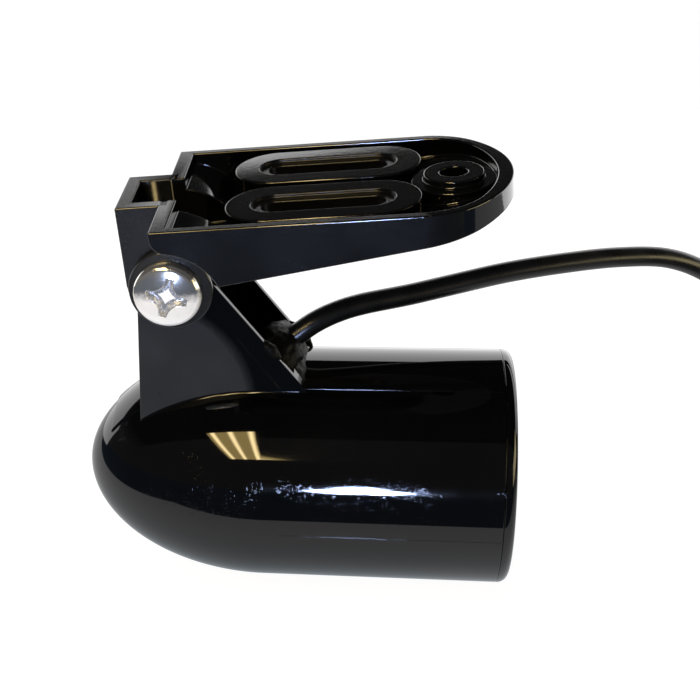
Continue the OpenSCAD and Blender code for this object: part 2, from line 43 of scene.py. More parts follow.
# Camera: place, lens, sensor and nearest distance in millimetres, turn in degrees
CAM_AT = Vector((-14.17, -282.95, 105.11))
CAM_YAW = 1.48
CAM_DIP = 27.68
CAM_ROLL = 0.71
CAM_LENS = 72.64
CAM_SENSOR = 36.0
CAM_NEAR = 10.0

# Pod, in millimetres
POD_L = 98.0
POD_FRONT_R = 26.7
POD_TAIL_R = 27.3
NOSE_L = 42.0
NOSE_POWER = 1.95
CAVITY_R = 23.5
CAVITY_FRONT = 21.0
NOSE_WALL = 8.3
BARREL_END = 95.4
CAP_EDGE_R = 2.3
SPIGOT_L = 4.0
SEAM_R = 0.3
CAP_GAP = 0.1
CAP_SEAM = 0.15
POD_SIDES = 192
NOSE_STEPS = 64
BARREL_STEPS = 10
POD_SHADING = 32.0
# Faces of the turned shell lie this close to its surface, in millimetres and as a cosine
ON_SHELL = 0.06
ALONG_SHELL = 0.97
# Faces that look to the rear, as a cosine
REARWARD = 0.5

# Stem: the pivot is placed from the nose tip, the web from the pivot, the floor from the pod's axis
PIVOT_BACK = 22.6
PIVOT_H = 49.4
STEM_HALF = 11.2
INNER_HALF = 9.7
EAR_R = 7.5
REAR_ANGLE = 52.0
FRONT_FOOT = 9.0
WEB_DROP = 13.0
WEB_BACK = -5.9
FLOOR_UP = 28.5
EAR_HOLE_R = 3.325
STEM_EDGE = 0.2
STEM_LOW = 12.0
# Underside of the stem's foot, from the nose tip, and its front end, from the front edge
FOOT_Z = 23.9
FOOT_POINTS = ((42.0, FOOT_Z), (30.0, 20.8), (21.0, 17.5))
FOOT_FRONT = (0.3, 13.0)

# Low pad on the nose, rounding at the stem's foot and fine lines that the mould left, from the nose tip
PAD_FROM = 6.6
PAD_TO = 16.7
PAD_HALF = 8.5
PAD_H = 0.5
PAD_SUNK = 1.0
PAD_EDGE = 0.15
PAD_STEPS = (28, 41)
FILLET_R = 0.8
FILLET_FROM = 14.2
FILLET_TO = 49.6
FILLET_SUNK = 0.4
FILLET_STEPS = (72, 10)
STEM_LINE = ((36.2, 37.9), (45.3, 25.4))
STEM_LINE_R = 0.12
MOULD_LINES = ((68.0, 0.2), (-7.0, 0.09))
MOULD_LINE_FROM = 46.0
MOULD_LINE_POINTS = 20
LINE_SIDES = 8

# Dull area on the stem's sides outside their painted shadow, from the pivot, and heights from the axis
# where the pod's scratches fade
DULL_UNSHADOWED_AT = (-8.0, -27.0)
DULL_UNSHADOWED_SIZE = (24.3, 23.65)
PAINTED_SHADOW_EDGE = (0.9, 1.12)
WORN_BELOW = (11.0, 17.0)

# How far tools and tests reach past the face that they cut or look for
OVER = 1.0
PAST = 60.0
NEAR = 0.2

# Bracket, from the pivot, with X along the tray and Z towards its rim
FOLD_TILT = 5.2
RIM_H = 18.0
RIM_T = 3.4
SIDE_T = 2.2
TRAY_W = 48.2
TRAY_START = -0.6
TRAY_END = 74.0
END_DEPTH = 19.3
CORNER_R = 16.0
CORNER_STEP = 1.5
END_STEP = 1.0
UNDER_H = 3.5
UNDER_ANGLE = 7.7
FLOOR_T = 2.5
ARCH_R = 13.2
HUMP_R = 15.7
HUMP_FROM = 92.2
ARCH_CORNER_R = 3.2
ARCH_CORNER_STEP = 6.0
NECK_START = -10.0
NECK_HALF = 9.45
NECK_R = 10.0
WELL_HALF = 6.35
WELL_FLOOR = 5.0
WELL_WALL = 3.1
FILL_RISE = 0.3
FILL_FROM = 92.0
FILL_UNDER = 0.05
SLOT_X = 34.0
SLOT_Y = 10.7
SLOT_L = 26.0
SLOT_W = 5.5
SLOT_BOSS_L = 41.0
SLOT_BOSS_W = 19.0
SLOT_BOSS_DROP = 0.4
SLOT_RECESS = 2.0
SLOT_RECESS_D = 0.8
HOLE_X = 61.3
HOLE_R = 3.0
RING_R = 6.5
DISC_R = 9.2
RING_H = 1.5
RING_STEP = 5.0
BORE_R = 3.255
BORE_STEP = 6.0
BRACKET_EDGE = 0.35
BRACKET_EDGE_STEPS = 3
EDGE_SHARE = 0.9

# Pivot hardware
WASHER_R = 9.0
WASHER_T = 2.0
WASHER_EDGE = 0.5
WASHER_SIDES = 96
HEAD_R = 7.3
HEAD_SIDE = 0.95
HEAD_EDGE = 1.8
HEAD_CROWN = 23.0
HEAD_SHIFT = -0.5
HEAD_DROP = 0.2
HEAD_FOOT = ((0.0, 0.2), (0.1, 0.06), (0.25, 0.0))
HEAD_EDGE_STEPS = 12
HEAD_RINGS = 64
HEAD_SIDES = 192
RECESS_REACH = 4.5
RECESS_CURVE_AT = 4.24
RECESS_CURVE_R = 3.39
RECESS_FLARE = 0.8
RECESS_FLAT = 1.5
RECESS_D = 1.5
RECESS_TURN = -12.7
RECESS_LIP = 0.05
SCREW_R = 3.175
SCREW_END = 22.1
SCREW_TIP = 0.5
SCREW_NECK = 0.3

# Cable where it leaves the sealant, and the sealant's lumps, from the nose tip
CABLE_R = 2.5
EXIT_ANGLE = 50.0
CABLE_OUT = (46.724, 0.0, 31.6)
ENTRY_L = 16.0
ENTRY_SIDES = 32
SEAL_RADII = (5.8, 9.6, 6.0)
SEAL_BACK = 3.5
SEAL_ROUGH = 0.4
SEAL_GAP = 0.05
SMEARS = (
    ((43.6, -10.2, 34.2), (3.0, 1.5, 1.3)),
    ((48.3, 10.3, 27.6), (4.6, 1.5, 1.8)),
    ((49.4, 0.0, 26.6), (3.8, 9.2, 1.1)),
)
SMEAR_ROUGH = 0.35
LUMP_STEPS = 5
LUMP_NOISE = ((0.4, 1.0), (1.1, 0.5), (2.6, 0.25))

# Cable's route to the coil, the coil, and its route to the connector, in the part's frame
ROUTE_STEP = 1.5
CABLE_BEVEL = 6
CABLE_ROUTE = [
    (-30, 1.5, -37.6), (-25, 4, -35.9), (-19, 7, -35.1), (-8, 12.5, -35), (3, 18, -34.5), (15, 23.5, -33.8),
    (29, 30, -34), (43, 36.5, -35), (56, 42.5, -37.5), (67, 47.5, -43), (76, 51.5, -51), (83, 55, -61),
    (89, 57.7, -72), (96, 61, -82.5), (105, 65, -91), (113, 68.7, -95.5), (120, 72, -96.5),
]
TAIL_ROUTE = [
    (157, 70.6, -71.5), (168, 62, -70.8), (175, 50, -69), (177, 36, -66), (174, 25, -63.5), (166, 17, -61),
    (155, 14, -59.2), (153, 14, -59.2),
]
COIL_AT = (137.0, 36.0)
COIL_RADII = (40.0, 35.0, 30.0, 25.0, 20.0)
COIL_BASE = -96.5
COIL_PITCH = 5.0
COIL_LAYERS = 6
COIL_SHIFT = 0.25
COIL_STEPS = 72

PIVOT = Vector((
    RIM_H * math.sin(math.radians(FOLD_TILT)) - HOLE_X * math.cos(math.radians(FOLD_TILT)),
    0,
    -RIM_H * math.cos(math.radians(FOLD_TILT)) - HOLE_X * math.sin(math.radians(FOLD_TILT)),
))
NOSE_TIP = PIVOT - Vector((PIVOT_BACK, 0, PIVOT_H))
FLOOR_Z = NOSE_TIP.z - POD_TAIL_R

IN_POD = Matrix.Translation(NOSE_TIP)
IN_BRACKET = Matrix.Translation(PIVOT) @ Matrix.Rotation(-math.radians(FOLD_TILT), 4, "Y")
# The pivot's axis: local X runs along -Y, towards the screw's head
IN_PIVOT = Matrix.Translation(PIVOT) @ Matrix.Rotation(-math.pi / 2, 4, "Z")


def solid(name, verts, faces):
    """A closed mesh object, in millimetres, with its faces turned outwards."""
    mesh = bpy.data.meshes.new(name)
    mesh.from_pydata(verts, [], faces)
    bm = bmesh.new()
    bm.from_mesh(mesh)
    bmesh.ops.recalc_face_normals(bm, faces=bm.faces)
    bm.to_mesh(mesh)
    bm.free()
    obj = bpy.data.objects.new(name, mesh)
    bpy.context.scene.collection.objects.link(obj)
    return obj


def lathe(name, profile, sides, ring=False):
    """Turns a profile of (x, radius) about the X axis; a ring's profile closes on itself."""
    verts = []
    rows = []
    for x, r in profile:
        if r == 0:
            rows.append([len(verts)] * sides)
            verts.append((x, 0, 0))
            continue
        rows.append([len(verts) + k for k in range(sides)])
        for k in range(sides):
            a = 2 * math.pi * k / sides
            verts.append((x, r * math.cos(a), r * math.sin(a)))
    pairs = list(zip(rows, rows[1:]))
    if ring:
        pairs.append((rows[-1], rows[0]))
    faces = []
    for a, b in pairs:
        for k in range(sides):
            n = (k + 1) % sides
            corners = list(dict.fromkeys((a[k], a[n], b[n], b[k])))
            if len(corners) > 2:
                faces.append(corners)
    return solid(name, verts, faces)


def loft(name, rings):
    """A closed solid through rings of as many points each."""
    n, m = len(rings), len(rings[0])
    faces = [list(range(m)), list(range((n - 1) * m, n * m))]
    for i in range(n - 1):
        for k in range(m):
            j = (k + 1) % m
            faces.append((i * m + k, i * m + j, (i + 1) * m + j, (i + 1) * m + k))
    return solid(name, [p for ring in rings for p in ring], faces)


def prism(name, outline, low, high, side=False):
    """Extrudes an outline along Z, or along Y where it is drawn from the side."""
    if side:
        return loft(name, [[(u, w, v) for u, v in outline] for w in (low, high)])
    return loft(name, [[(u, v, w) for u, v in outline] for w in (low, high)])


def arc(x, y, r, start, end, step=3.0, count=None):
    """Points along an arc, angles in degrees, by the step or the count of its sides."""
    if count is None:
        count = max(2, int(math.ceil(abs(end - start) / step)))
    angles = [math.radians(start + (end - start) * k / count) for k in range(count + 1)]
    return [(x + r * math.cos(a), y + r * math.sin(a)) for a in angles]


def circle(x, y, r, step=3.0):
    return arc(x, y, r, 0, 360 - step, step)


def box(low_x, high_x, low_y, high_y):
    return [(low_x, low_y), (high_x, low_y), (high_x, high_y), (low_x, high_y)]


def stadium(x, y, length, width):
    """A slot's outline: straight sides along X with round ends."""
    half = (length - width) / 2
    r = width / 2
    return arc(x + half, y, r, -90, 90) + arc(x - half, y, r, 90, 270)


def bake(obj):
    """Applies an object's modifiers."""
    graph = bpy.context.evaluated_depsgraph_get()
    mesh = bpy.data.meshes.new_from_object(obj.evaluated_get(graph))
    old = obj.data
    obj.modifiers.clear()
    obj.data = mesh
    bpy.data.meshes.remove(old)
    return obj


def combine(obj, tool, operation):
    """Joins, cuts or intersects two solids, and drops the second."""
    modifier = obj.modifiers.new("combine", "BOOLEAN")
    modifier.object = tool
    modifier.operation = operation
    modifier.solver = "EXACT"
    bake(obj)
    bpy.data.objects.remove(tool)
    return obj


def join(obj, tool):
    return combine(obj, tool, "UNION")


def cut(obj, tool):
    return combine(obj, tool, "DIFFERENCE")


def common(obj, tool):
    return combine(obj, tool, "INTERSECT")


def smooth(obj, angle=35.0):
    """Shades a mesh smoothly, apart from edges sharper than the angle."""
    obj.data.shade_smooth()
    obj.data.set_sharp_from_angle(angle=math.radians(angle))
    return obj


def even_shading(obj, angle):
    """Keeps large faces flat and shades over the small ones between them, up to an angle."""
    smooth(obj, angle)
    modifier = obj.modifiers.new("shading", "WEIGHTED_NORMAL")
    modifier.weight = 50
    modifier.keep_sharp = True
    return bake(obj)


def soften(obj, width, segments=2, angle=30.0):
    """Rounds the edges of a solid and shades it smoothly."""
    smooth(obj, angle)
    modifier = obj.modifiers.new("edges", "BEVEL")
    modifier.width = width
    modifier.segments = segments
    modifier.limit_method = "ANGLE"
    modifier.angle_limit = math.radians(angle)
    modifier.use_clamp_overlap = False
    modifier.harden_normals = True
    return bake(obj)


def settle(obj, matrix, body, slot, *nodes):
    """Puts a finished piece in the part's frame, in metres, on its body."""
    obj.data.transform(Matrix.Scale(MM, 4) @ matrix)
    obj.data.update()
    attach(obj, body)
    if nodes:
        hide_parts(*nodes)
    return obj


def pod_r(x):
    """The pod's radius: a rounded nose, then a barrel that widens towards the tail."""
    if x < NOSE_L:
        return POD_FRONT_R * (1 - ((NOSE_L - x) / NOSE_L) ** NOSE_POWER) ** (1 / NOSE_POWER)
    return POD_FRONT_R + (POD_TAIL_R - POD_FRONT_R) * (x - NOSE_L) / (POD_L - NOSE_L)


def pod_normal(p):
    """Outward direction on the pod's surface of revolution."""
    x = min(max(p.x, 0.0), BARREL_END)
    step = 0.01
    low = max(x - step, 0.0)
    slope = (pod_r(x + step) - pod_r(low)) / (x + step - low)
    across = math.hypot(p.y, p.z)
    if x < step:
        return Vector((-1, 0, 0))
    return Vector((-slope, p.y / across, p.z / across)).normalized()


# Materials
def new_material(name):
    mat = bpy.data.materials.new(name)
    mat.use_nodes = True
    tree = mat.node_tree
    tree.nodes.clear()
    out = tree.nodes.new("ShaderNodeOutputMaterial")
    shader = tree.nodes.new("ShaderNodeBsdfPrincipled")
    tree.links.new(shader.outputs["BSDF"], out.inputs["Surface"])
    return mat, tree, shader


def math_node(tree, operation, a, b=0.0):
    node = tree.nodes.new("ShaderNodeMath")
    node.operation = operation
    for socket, value in zip(node.inputs, (a, b)):
        if isinstance(value, (int, float)):
            socket.default_value = value
        else:
            tree.links.new(value, socket)
    return node.outputs["Value"]


def square(tree, value):
    return math_node(tree, "MULTIPLY", value, value)


def axes_of(tree, space="Object"):
    """X, Y and Z of the place that is shaded."""
    coord = tree.nodes.new("ShaderNodeTexCoord")
    axes = tree.nodes.new("ShaderNodeSeparateXYZ")
    tree.links.new(coord.outputs[space], axes.inputs["Vector"])
    return axes.outputs


def add_noise(tree, scale, detail=4.0, rough=0.6, stretch=None, turn=0.0):
    coord = tree.nodes.new("ShaderNodeTexCoord")
    tex = tree.nodes.new("ShaderNodeTexNoise")
    tex.inputs["Scale"].default_value = scale
    tex.inputs["Detail"].default_value = detail
    tex.inputs["Roughness"].default_value = rough
    if stretch is None:
        tree.links.new(coord.outputs["Object"], tex.inputs["Vector"])
        return tex.outputs["Fac"]
    mapping = tree.nodes.new("ShaderNodeMapping")
    mapping.inputs["Scale"].default_value = stretch
    mapping.inputs["Rotation"].default_value = (turn, turn / 2, turn)
    tree.links.new(coord.outputs["Object"], mapping.inputs["Vector"])
    tree.links.new(mapping.outputs["Vector"], tex.inputs["Vector"])
    return tex.outputs["Fac"]


def remap(tree, value, low, high, from_low=0.3, from_high=0.7):
    node = tree.nodes.new("ShaderNodeMapRange")
    node.inputs["From Min"].default_value = from_low
    node.inputs["From Max"].default_value = from_high
    node.inputs["To Min"].default_value = low
    node.inputs["To Max"].default_value = high
    tree.links.new(value, node.inputs["Value"])
    return node.outputs["Result"]


def mix_colour(tree, factor, a, b):
    node = tree.nodes.new("ShaderNodeMix")
    node.data_type = "RGBA"
    node.inputs["A"].default_value = (*a, 1)
    node.inputs["B"].default_value = (*b, 1)
    tree.links.new(factor, node.inputs["Factor"])
    return node.outputs["Result"]


def add_bump(tree, shader, height, strength, distance=0.0001):
    node = tree.nodes.new("ShaderNodeBump")
    node.inputs["Strength"].default_value = strength
    node.inputs["Distance"].default_value = distance
    tree.links.new(height, node.inputs["Height"])
    tree.links.new(node.outputs["Normal"], shader.inputs["Normal"])


def grey(level):
    return (level, level, level)


def finish_of(name, dark, light, rough, cloud_scale, grain_scale, relief, metallic=0.0, ior=1.5):
    """Colour and roughness wander between two values, over a fine grain in relief."""
    mat, tree, shader = new_material(name)
    cloud = add_noise(tree, cloud_scale)
    grain = add_noise(tree, grain_scale, detail=2.0)
    tree.links.new(mix_colour(tree, remap(tree, cloud, 0, 1), dark, light), shader.inputs["Base Color"])
    tree.links.new(remap(tree, cloud, *rough), shader.inputs["Roughness"])
    shader.inputs["Metallic"].default_value = metallic
    shader.inputs["IOR"].default_value = ior
    add_bump(tree, shader, grain, relief)
    return mat


# Each finish: darkest and lightest colour, range of roughness, scale of its clouds and of its grain, relief
bracket_satin = finish_of("bracket_satin", grey(0.002), grey(0.0032), (0.22, 0.28), 80, 3500, 0.2)
bracket_gloss = finish_of(
    "bracket_gloss", (0.0008, 0.0008, 0.0009), (0.0014, 0.0014, 0.0015), (0.05, 0.08), 80, 1500, 0.06,
    ior=1.75,
)
# The neck's sides: a lighter copy of the bracket's satin
neck_satin = finish_of("neck_satin", grey(0.008), grey(0.012), (0.24, 0.3), 80, 3500, 0.2)
washer_black = finish_of("washer_black", grey(0.012), grey(0.016), (0.12, 0.2), 120, 2000, 0.06)
steel = finish_of(
    "steel", (0.7, 0.68, 0.65), (0.8, 0.78, 0.75), (0.08, 0.16), 200, 2500, 0.03, metallic=1.0
)
# Cross recess: a greyer, less metallic steel on its walls as painted shading, and near-white, mostly dull
# steel on its floor as a painted reflection
recess_steel_shaded = finish_of(
    "recess_steel_shaded", grey(0.6), (0.75, 0.74, 0.72), (0.2, 0.32), 600, 2500, 0.1, metallic=0.8
)
recess_floor_glint = finish_of(
    "recess_floor_glint", (0.86, 0.85, 0.84), (0.93, 0.92, 0.9), (0.2, 0.3), 600, 2500, 0.1, metallic=0.2
)
sealant = finish_of("sealant", grey(0.0008), grey(0.0016), (0.4, 0.6), 300, 1500, 0.6, ior=1.2)
jacket = finish_of("jacket", grey(0.0024), grey(0.004), (0.24, 0.34), 150, 2500, 0.12)
plug_black = finish_of("plug_black", (0.02, 0.02, 0.021), (0.03, 0.03, 0.031), (0.4, 0.5), 150, 2500, 0.2)
tie_black = finish_of("tie_black", grey(0.012), grey(0.02), (0.35, 0.5), 150, 2500, 0.2)
insert_cream = finish_of("insert_cream", (0.55, 0.52, 0.44), (0.66, 0.63, 0.54), (0.4, 0.5), 200, 2500, 0.1)
gold = finish_of("gold", (0.8, 0.6, 0.25), (0.88, 0.7, 0.34), (0.2, 0.3), 300, 2500, 0.05, metallic=1.0)
resin = finish_of("resin", (0.02, 0.018, 0.016), (0.035, 0.03, 0.026), (0.3, 0.5), 80, 1500, 0.2)
ceramic = finish_of("ceramic", (0.7, 0.68, 0.62), (0.8, 0.78, 0.72), (0.5, 0.65), 200, 2500, 0.15)
cork_brown = finish_of("cork_brown", (0.28, 0.17, 0.09), (0.5, 0.34, 0.2), (0.7, 0.85), 400, 1200, 0.8)
rubber = finish_of("rubber", grey(0.02), grey(0.035), (0.55, 0.7), 150, 2500, 0.2)
red_wire = finish_of("red_wire", (0.55, 0.04, 0.03), (0.68, 0.07, 0.05), (0.35, 0.45), 300, 2500, 0.1)
copper = finish_of("copper", (0.72, 0.4, 0.24), (0.82, 0.5, 0.3), (0.25, 0.4), 300, 2500, 0.1, metallic=1.0)
nylon_blue = finish_of("nylon_blue", (0.06, 0.12, 0.4), (0.1, 0.18, 0.5), (0.35, 0.5), 200, 2500, 0.1)

# Pod's gloss: colours, roughness, and scratches as noise drawn out in several directions
GLOSS_DARK = (0.0005, 0.0005, 0.0006)
GLOSS_LIGHT = (0.001, 0.001, 0.0011)
GLOSS_SCALE = 60
GLOSS_ROUGH = (0.03, 0.055)
WORN_SCALE = 70
WORN_FROM = (0.5, 0.68)
SCRATCH_SCALE = 520
SCRATCH_FROM = (0.66, 0.74)
SCRATCH_ROUGH = 0.08
SCRATCH_WAYS = (((1, 1, 12), 0.5), ((12, 1, 1), 0.9), ((1, 9, 1), -0.7), ((1, 4, 10), 0.2))
NICK_SCALE = 2600
NICK_RELIEF = (0.55, 0.00004)


def make_gloss():
    """Polished black moulding with fine handling scratches low on the pod."""
    mat, tree, shader = new_material("pod_gloss")
    cloud = add_noise(tree, GLOSS_SCALE)
    tree.links.new(
        mix_colour(tree, remap(tree, cloud, 0, 1), GLOSS_DARK, GLOSS_LIGHT), shader.inputs["Base Color"]
    )
    low = remap(tree, axes_of(tree)["Z"], 1, 0, *[(NOSE_TIP.z + z) * MM for z in WORN_BELOW])
    worn = remap(tree, add_noise(tree, WORN_SCALE, detail=3.0), 0, 1, *WORN_FROM)
    worn = math_node(tree, "MULTIPLY", worn, low)
    lines = 0.0
    for stretch, turn in SCRATCH_WAYS:
        line = add_noise(tree, SCRATCH_SCALE, detail=2.0, stretch=stretch, turn=turn)
        lines = math_node(tree, "MAXIMUM", lines, remap(tree, line, 0, 1, *SCRATCH_FROM))
    scratched = math_node(tree, "MULTIPLY", lines, worn)
    polish = remap(tree, cloud, *GLOSS_ROUGH)
    rough = math_node(tree, "ADD", polish, math_node(tree, "MULTIPLY", scratched, SCRATCH_ROUGH))
    tree.links.new(rough, shader.inputs["Roughness"])
    nicks = math_node(tree, "MULTIPLY", add_noise(tree, NICK_SCALE, detail=1.0), scratched)
    add_bump(tree, shader, nicks, *NICK_RELIEF)
    return mat


pod_gloss = make_gloss()

# Stem's sides: shade of the painted shadow and of the duller part, roughness of both, and how far the
# roughness wanders
STEM_PAINTED_SHADOW = 0.0006
STEM_DULL_UNSHADOWED = (0.011, 0.014)
STEM_SCALE = 90
STEM_ROUGH = (0.12, 0.3)
STEM_WANDER = 0.03
STEM_GRAIN = 3000
STEM_RELIEF = 0.1


def make_stem_finish_and_shadow():
    """Dull moulded sides; the part along the stem's rear edge is smooth and painted dark as a shadow."""
    mat, tree, shader = new_material("stem_satin_shadowed")
    axes = axes_of(tree)
    # Painted shadow: outside a rounded area low at the stem's front the sides turn dark and smoother
    along = math_node(tree, "SUBTRACT", axes["X"], (PIVOT.x + DULL_UNSHADOWED_AT[0]) * MM)
    along = math_node(tree, "DIVIDE", along, DULL_UNSHADOWED_SIZE[0] * MM)
    rise = math_node(tree, "SUBTRACT", axes["Z"], (PIVOT.z + DULL_UNSHADOWED_AT[1]) * MM)
    rise = math_node(tree, "DIVIDE", math_node(tree, "MAXIMUM", rise, 0), DULL_UNSHADOWED_SIZE[1] * MM)
    reach = math_node(tree, "ADD", square(tree, along), square(tree, rise))
    dull_unshadowed = remap(tree, reach, 1, 0, *PAINTED_SHADOW_EDGE)
    cloud = add_noise(tree, STEM_SCALE)
    shade = math_node(tree, "MULTIPLY", remap(tree, cloud, *STEM_DULL_UNSHADOWED), dull_unshadowed)
    tree.links.new(math_node(tree, "ADD", shade, STEM_PAINTED_SHADOW), shader.inputs["Base Color"])
    wander = remap(tree, cloud, -STEM_WANDER, STEM_WANDER)
    rough = math_node(tree, "ADD", remap(tree, dull_unshadowed, *STEM_ROUGH, 0, 1), wander)
    tree.links.new(rough, shader.inputs["Roughness"])
    add_bump(tree, shader, add_noise(tree, STEM_GRAIN, detail=2.0), STEM_RELIEF)
    return mat


stem_satin_shadowed = make_stem_finish_and_shadow()

# Screw's head: colours, heights from its middle between which satin turns to polish, and both finishes; the
# satin below is a painted sheen
HEAD_DARK = (0.8, 0.77, 0.72)
HEAD_LIGHT = (0.9, 0.87, 0.82)
HEAD_SCALE = 500
HEAD_WANDER = 0.6
HEAD_SHEEN_BLEND = (-1.0, 1.2)
HEAD_SHEEN_METAL = (0.3, 0.94)
HEAD_ROUGH = (0.26, 0.14)
HEAD_GRAIN = 2500
HEAD_RELIEF = 0.03


def make_head_finish_and_sheen():
    """Polished steel above the head's middle that turns to bright satin below it, a painted sheen for the
    bright reflection there.
    """
    mat, tree, shader = new_material("head_steel_sheen")
    cloud = add_noise(tree, HEAD_SCALE)
    # Painted sheen: below the head's middle the steel turns less metallic and rougher, so the lamps light
    # it bright
    rise = math_node(tree, "SUBTRACT", axes_of(tree)["Z"], (PIVOT.z - HEAD_DROP) * MM)
    rise = math_node(tree, "ADD", rise, remap(tree, cloud, -HEAD_WANDER * MM, HEAD_WANDER * MM))
    mirror_not_sheen = remap(tree, rise, 0, 1, *[z * MM for z in HEAD_SHEEN_BLEND])
    tree.links.new(mix_colour(tree, cloud, HEAD_DARK, HEAD_LIGHT), shader.inputs["Base Color"])
    tree.links.new(remap(tree, mirror_not_sheen, *HEAD_SHEEN_METAL, 0, 1), shader.inputs["Metallic"])
    tree.links.new(remap(tree, mirror_not_sheen, *HEAD_ROUGH, 0, 1), shader.inputs["Roughness"])
    add_bump(tree, shader, add_noise(tree, HEAD_GRAIN, detail=2.0), HEAD_RELIEF)
    return mat


head_steel_sheen = make_head_finish_and_sheen()


def paint(obj, *mats):
    obj.data.materials.clear()
    for mat in mats:
        obj.data.materials.append(mat)
    return obj


# Pod housing: turned shell, stem and nose pad in one moulding
def stem_outline():
    """The stem from the side, from the nose tip; its foot ends inside the shell's wall."""
    touch = 90 - REAR_ANGLE
    rear_x = PIVOT_BACK + EAR_R * math.cos(math.radians(touch))
    rear_z = PIVOT_H + EAR_R * math.sin(math.radians(touch))
    foot_x = rear_x + (rear_z - FOOT_Z) / math.tan(math.radians(REAR_ANGLE))
    front = (PIVOT_BACK - FRONT_FOOT + FOOT_FRONT[0], FOOT_FRONT[1])
    return arc(PIVOT_BACK, PIVOT_H, EAR_R, 180, touch) + [(foot_x, FOOT_Z), *FOOT_POINTS, front]


def make_stem():
    """Two side walls with ears, joined in front by a web and below by a floor."""
    stem = prism("stem", stem_outline(), -STEM_HALF, STEM_HALF, side=True)
    upper = box(PIVOT_BACK - PAST, PIVOT_BACK + PAST, PIVOT_H - WEB_DROP, PIVOT_H + PAST)
    lower = box(PIVOT_BACK + WEB_BACK, PIVOT_BACK + PAST, FLOOR_UP, PIVOT_H)
    cut(stem, prism("upper", upper, -INNER_HALF, INNER_HALF, side=True))
    cut(stem, prism("lower", lower, -INNER_HALF, INNER_HALF, side=True))
    cut(stem, prism("bore", circle(PIVOT_BACK, PIVOT_H, EAR_HOLE_R, BORE_STEP), -PAST, PAST, side=True))
    return soften(stem, STEM_EDGE)


def make_pad():
    """Low pad on the nose ahead of the stem."""
    n, m = PAD_STEPS
    xs = np.linspace(PAD_FROM, PAD_TO, n)
    ys = np.linspace(-PAD_HALF, PAD_HALF, m)
    verts = [(x, y, math.sqrt((pod_r(x) + PAD_H) ** 2 - y * y)) for x in xs for y in ys]
    verts += [(x, y, math.sqrt(pod_r(x) ** 2 - y * y) - PAD_SUNK) for x in xs for y in ys]
    faces = []
    for base in (0, n * m):
        for i in range(n - 1):
            for j in range(m - 1):
                a = base + i * m + j
                faces.append((a, a + 1, a + m + 1, a + m))
    for i in range(n - 1):
        for j in (0, m - 1):
            a = i * m + j
            faces.append((a, a + m, a + m + n * m, a + n * m))
    for j in range(m - 1):
        for i in (0, n - 1):
            a = i * m + j
            faces.append((a, a + 1, a + 1 + n * m, a + n * m))
    return soften(solid("pad", verts, faces), PAD_EDGE)


def make_pod():
    profile = [(0.0, 0.0)]
    for i in range(1, NOSE_STEPS + 1):
        x = NOSE_L * (1 - math.cos(math.pi / 2 * i / NOSE_STEPS))
        profile.append((x, pod_r(x)))
    for i in range(1, BARREL_STEPS + 1):
        x = NOSE_L + (BARREL_END - SEAM_R - NOSE_L) * i / BARREL_STEPS
        profile.append((x, pod_r(x)))
    profile += arc(BARREL_END - SEAM_R, pod_r(BARREL_END) - SEAM_R, SEAM_R, 90, 0, 30)[1:]
    profile += [
        (BARREL_END, CAVITY_R), (NOSE_L, CAVITY_R),
        (CAVITY_FRONT, pod_r(CAVITY_FRONT) - NOSE_WALL), (CAVITY_FRONT, 0.0),
    ]
    pod = lathe("pod_shell", profile, POD_SIDES)
    join(pod, make_stem())
    return join(pod, make_pad())


def finish_pod(obj):
    """Exact normals on the turned shell, and the stem's satin with its painted shadow on the stem apart
    from its rear edges.
    """
    even_shading(obj, POD_SHADING)
    paint(obj, pod_gloss, stem_satin_shadowed)
    mesh = obj.data
    normals = [Vector(corner.vector) for corner in mesh.corner_normals]
    for face in mesh.polygons:
        centre = face.center
        across = math.hypot(centre.y, centre.z)
        on_shell = 0 < centre.x < BARREL_END - SEAM_R and abs(across - pod_r(centre.x)) < ON_SHELL
        above_pad = centre.x < POD_L and across > pod_r(centre.x) + PAD_H + NEAR / 2
        if on_shell and face.normal.dot(pod_normal(centre)) > ALONG_SHELL:
            for loop in face.loop_indices:
                normals[loop] = pod_normal(mesh.vertices[mesh.loops[loop].vertex_index].co)
        elif above_pad and centre.z > STEM_LOW and face.normal.x <= REARWARD:
            face.material_index = 1
    mesh.normals_split_custom_set(normals)
    return obj


settle(finish_pod(make_pod()), IN_POD, "pod", "pod_plastic", "pod_housing")


def tube_along(name, path, r, sides):
    """A closed tube along points in millimetres."""
    angles = [2 * math.pi * k / sides for k in range(sides)]
    rings = []
    for i, p in enumerate(path):
        t = (Vector(path[min(i + 1, len(path) - 1)]) - Vector(path[max(i - 1, 0)])).normalized()
        u = t.cross(Vector((0, 0, 1))).normalized()
        w = t.cross(u)
        rings.append([Vector(p) + r * (math.cos(a) * u + math.sin(a) * w) for a in angles])
    return smooth(loft(name, rings), angle=50)


def make_fillet(name, side):
    """Rounding between one side of the stem and the pod."""
    length_steps, round_steps = FILLET_STEPS
    rings = []
    for x in np.linspace(FILLET_FROM, FILLET_TO, length_steps):
        r = pod_r(x)
        y = STEM_HALF + FILLET_R
        z = math.sqrt((r + FILLET_R) ** 2 - y * y)
        last = 180 + math.degrees(math.atan2(z, y))
        ring = arc(y, z, FILLET_R, 180, last, count=round_steps)
        share = (r - FILLET_SUNK) / (r + FILLET_R)
        ring += [(y * share, z * share), (STEM_HALF - FILLET_SUNK, z)]
        rings.append([(x, side * v, w) for v, w in ring])
    return smooth(loft(name, rings), angle=40)


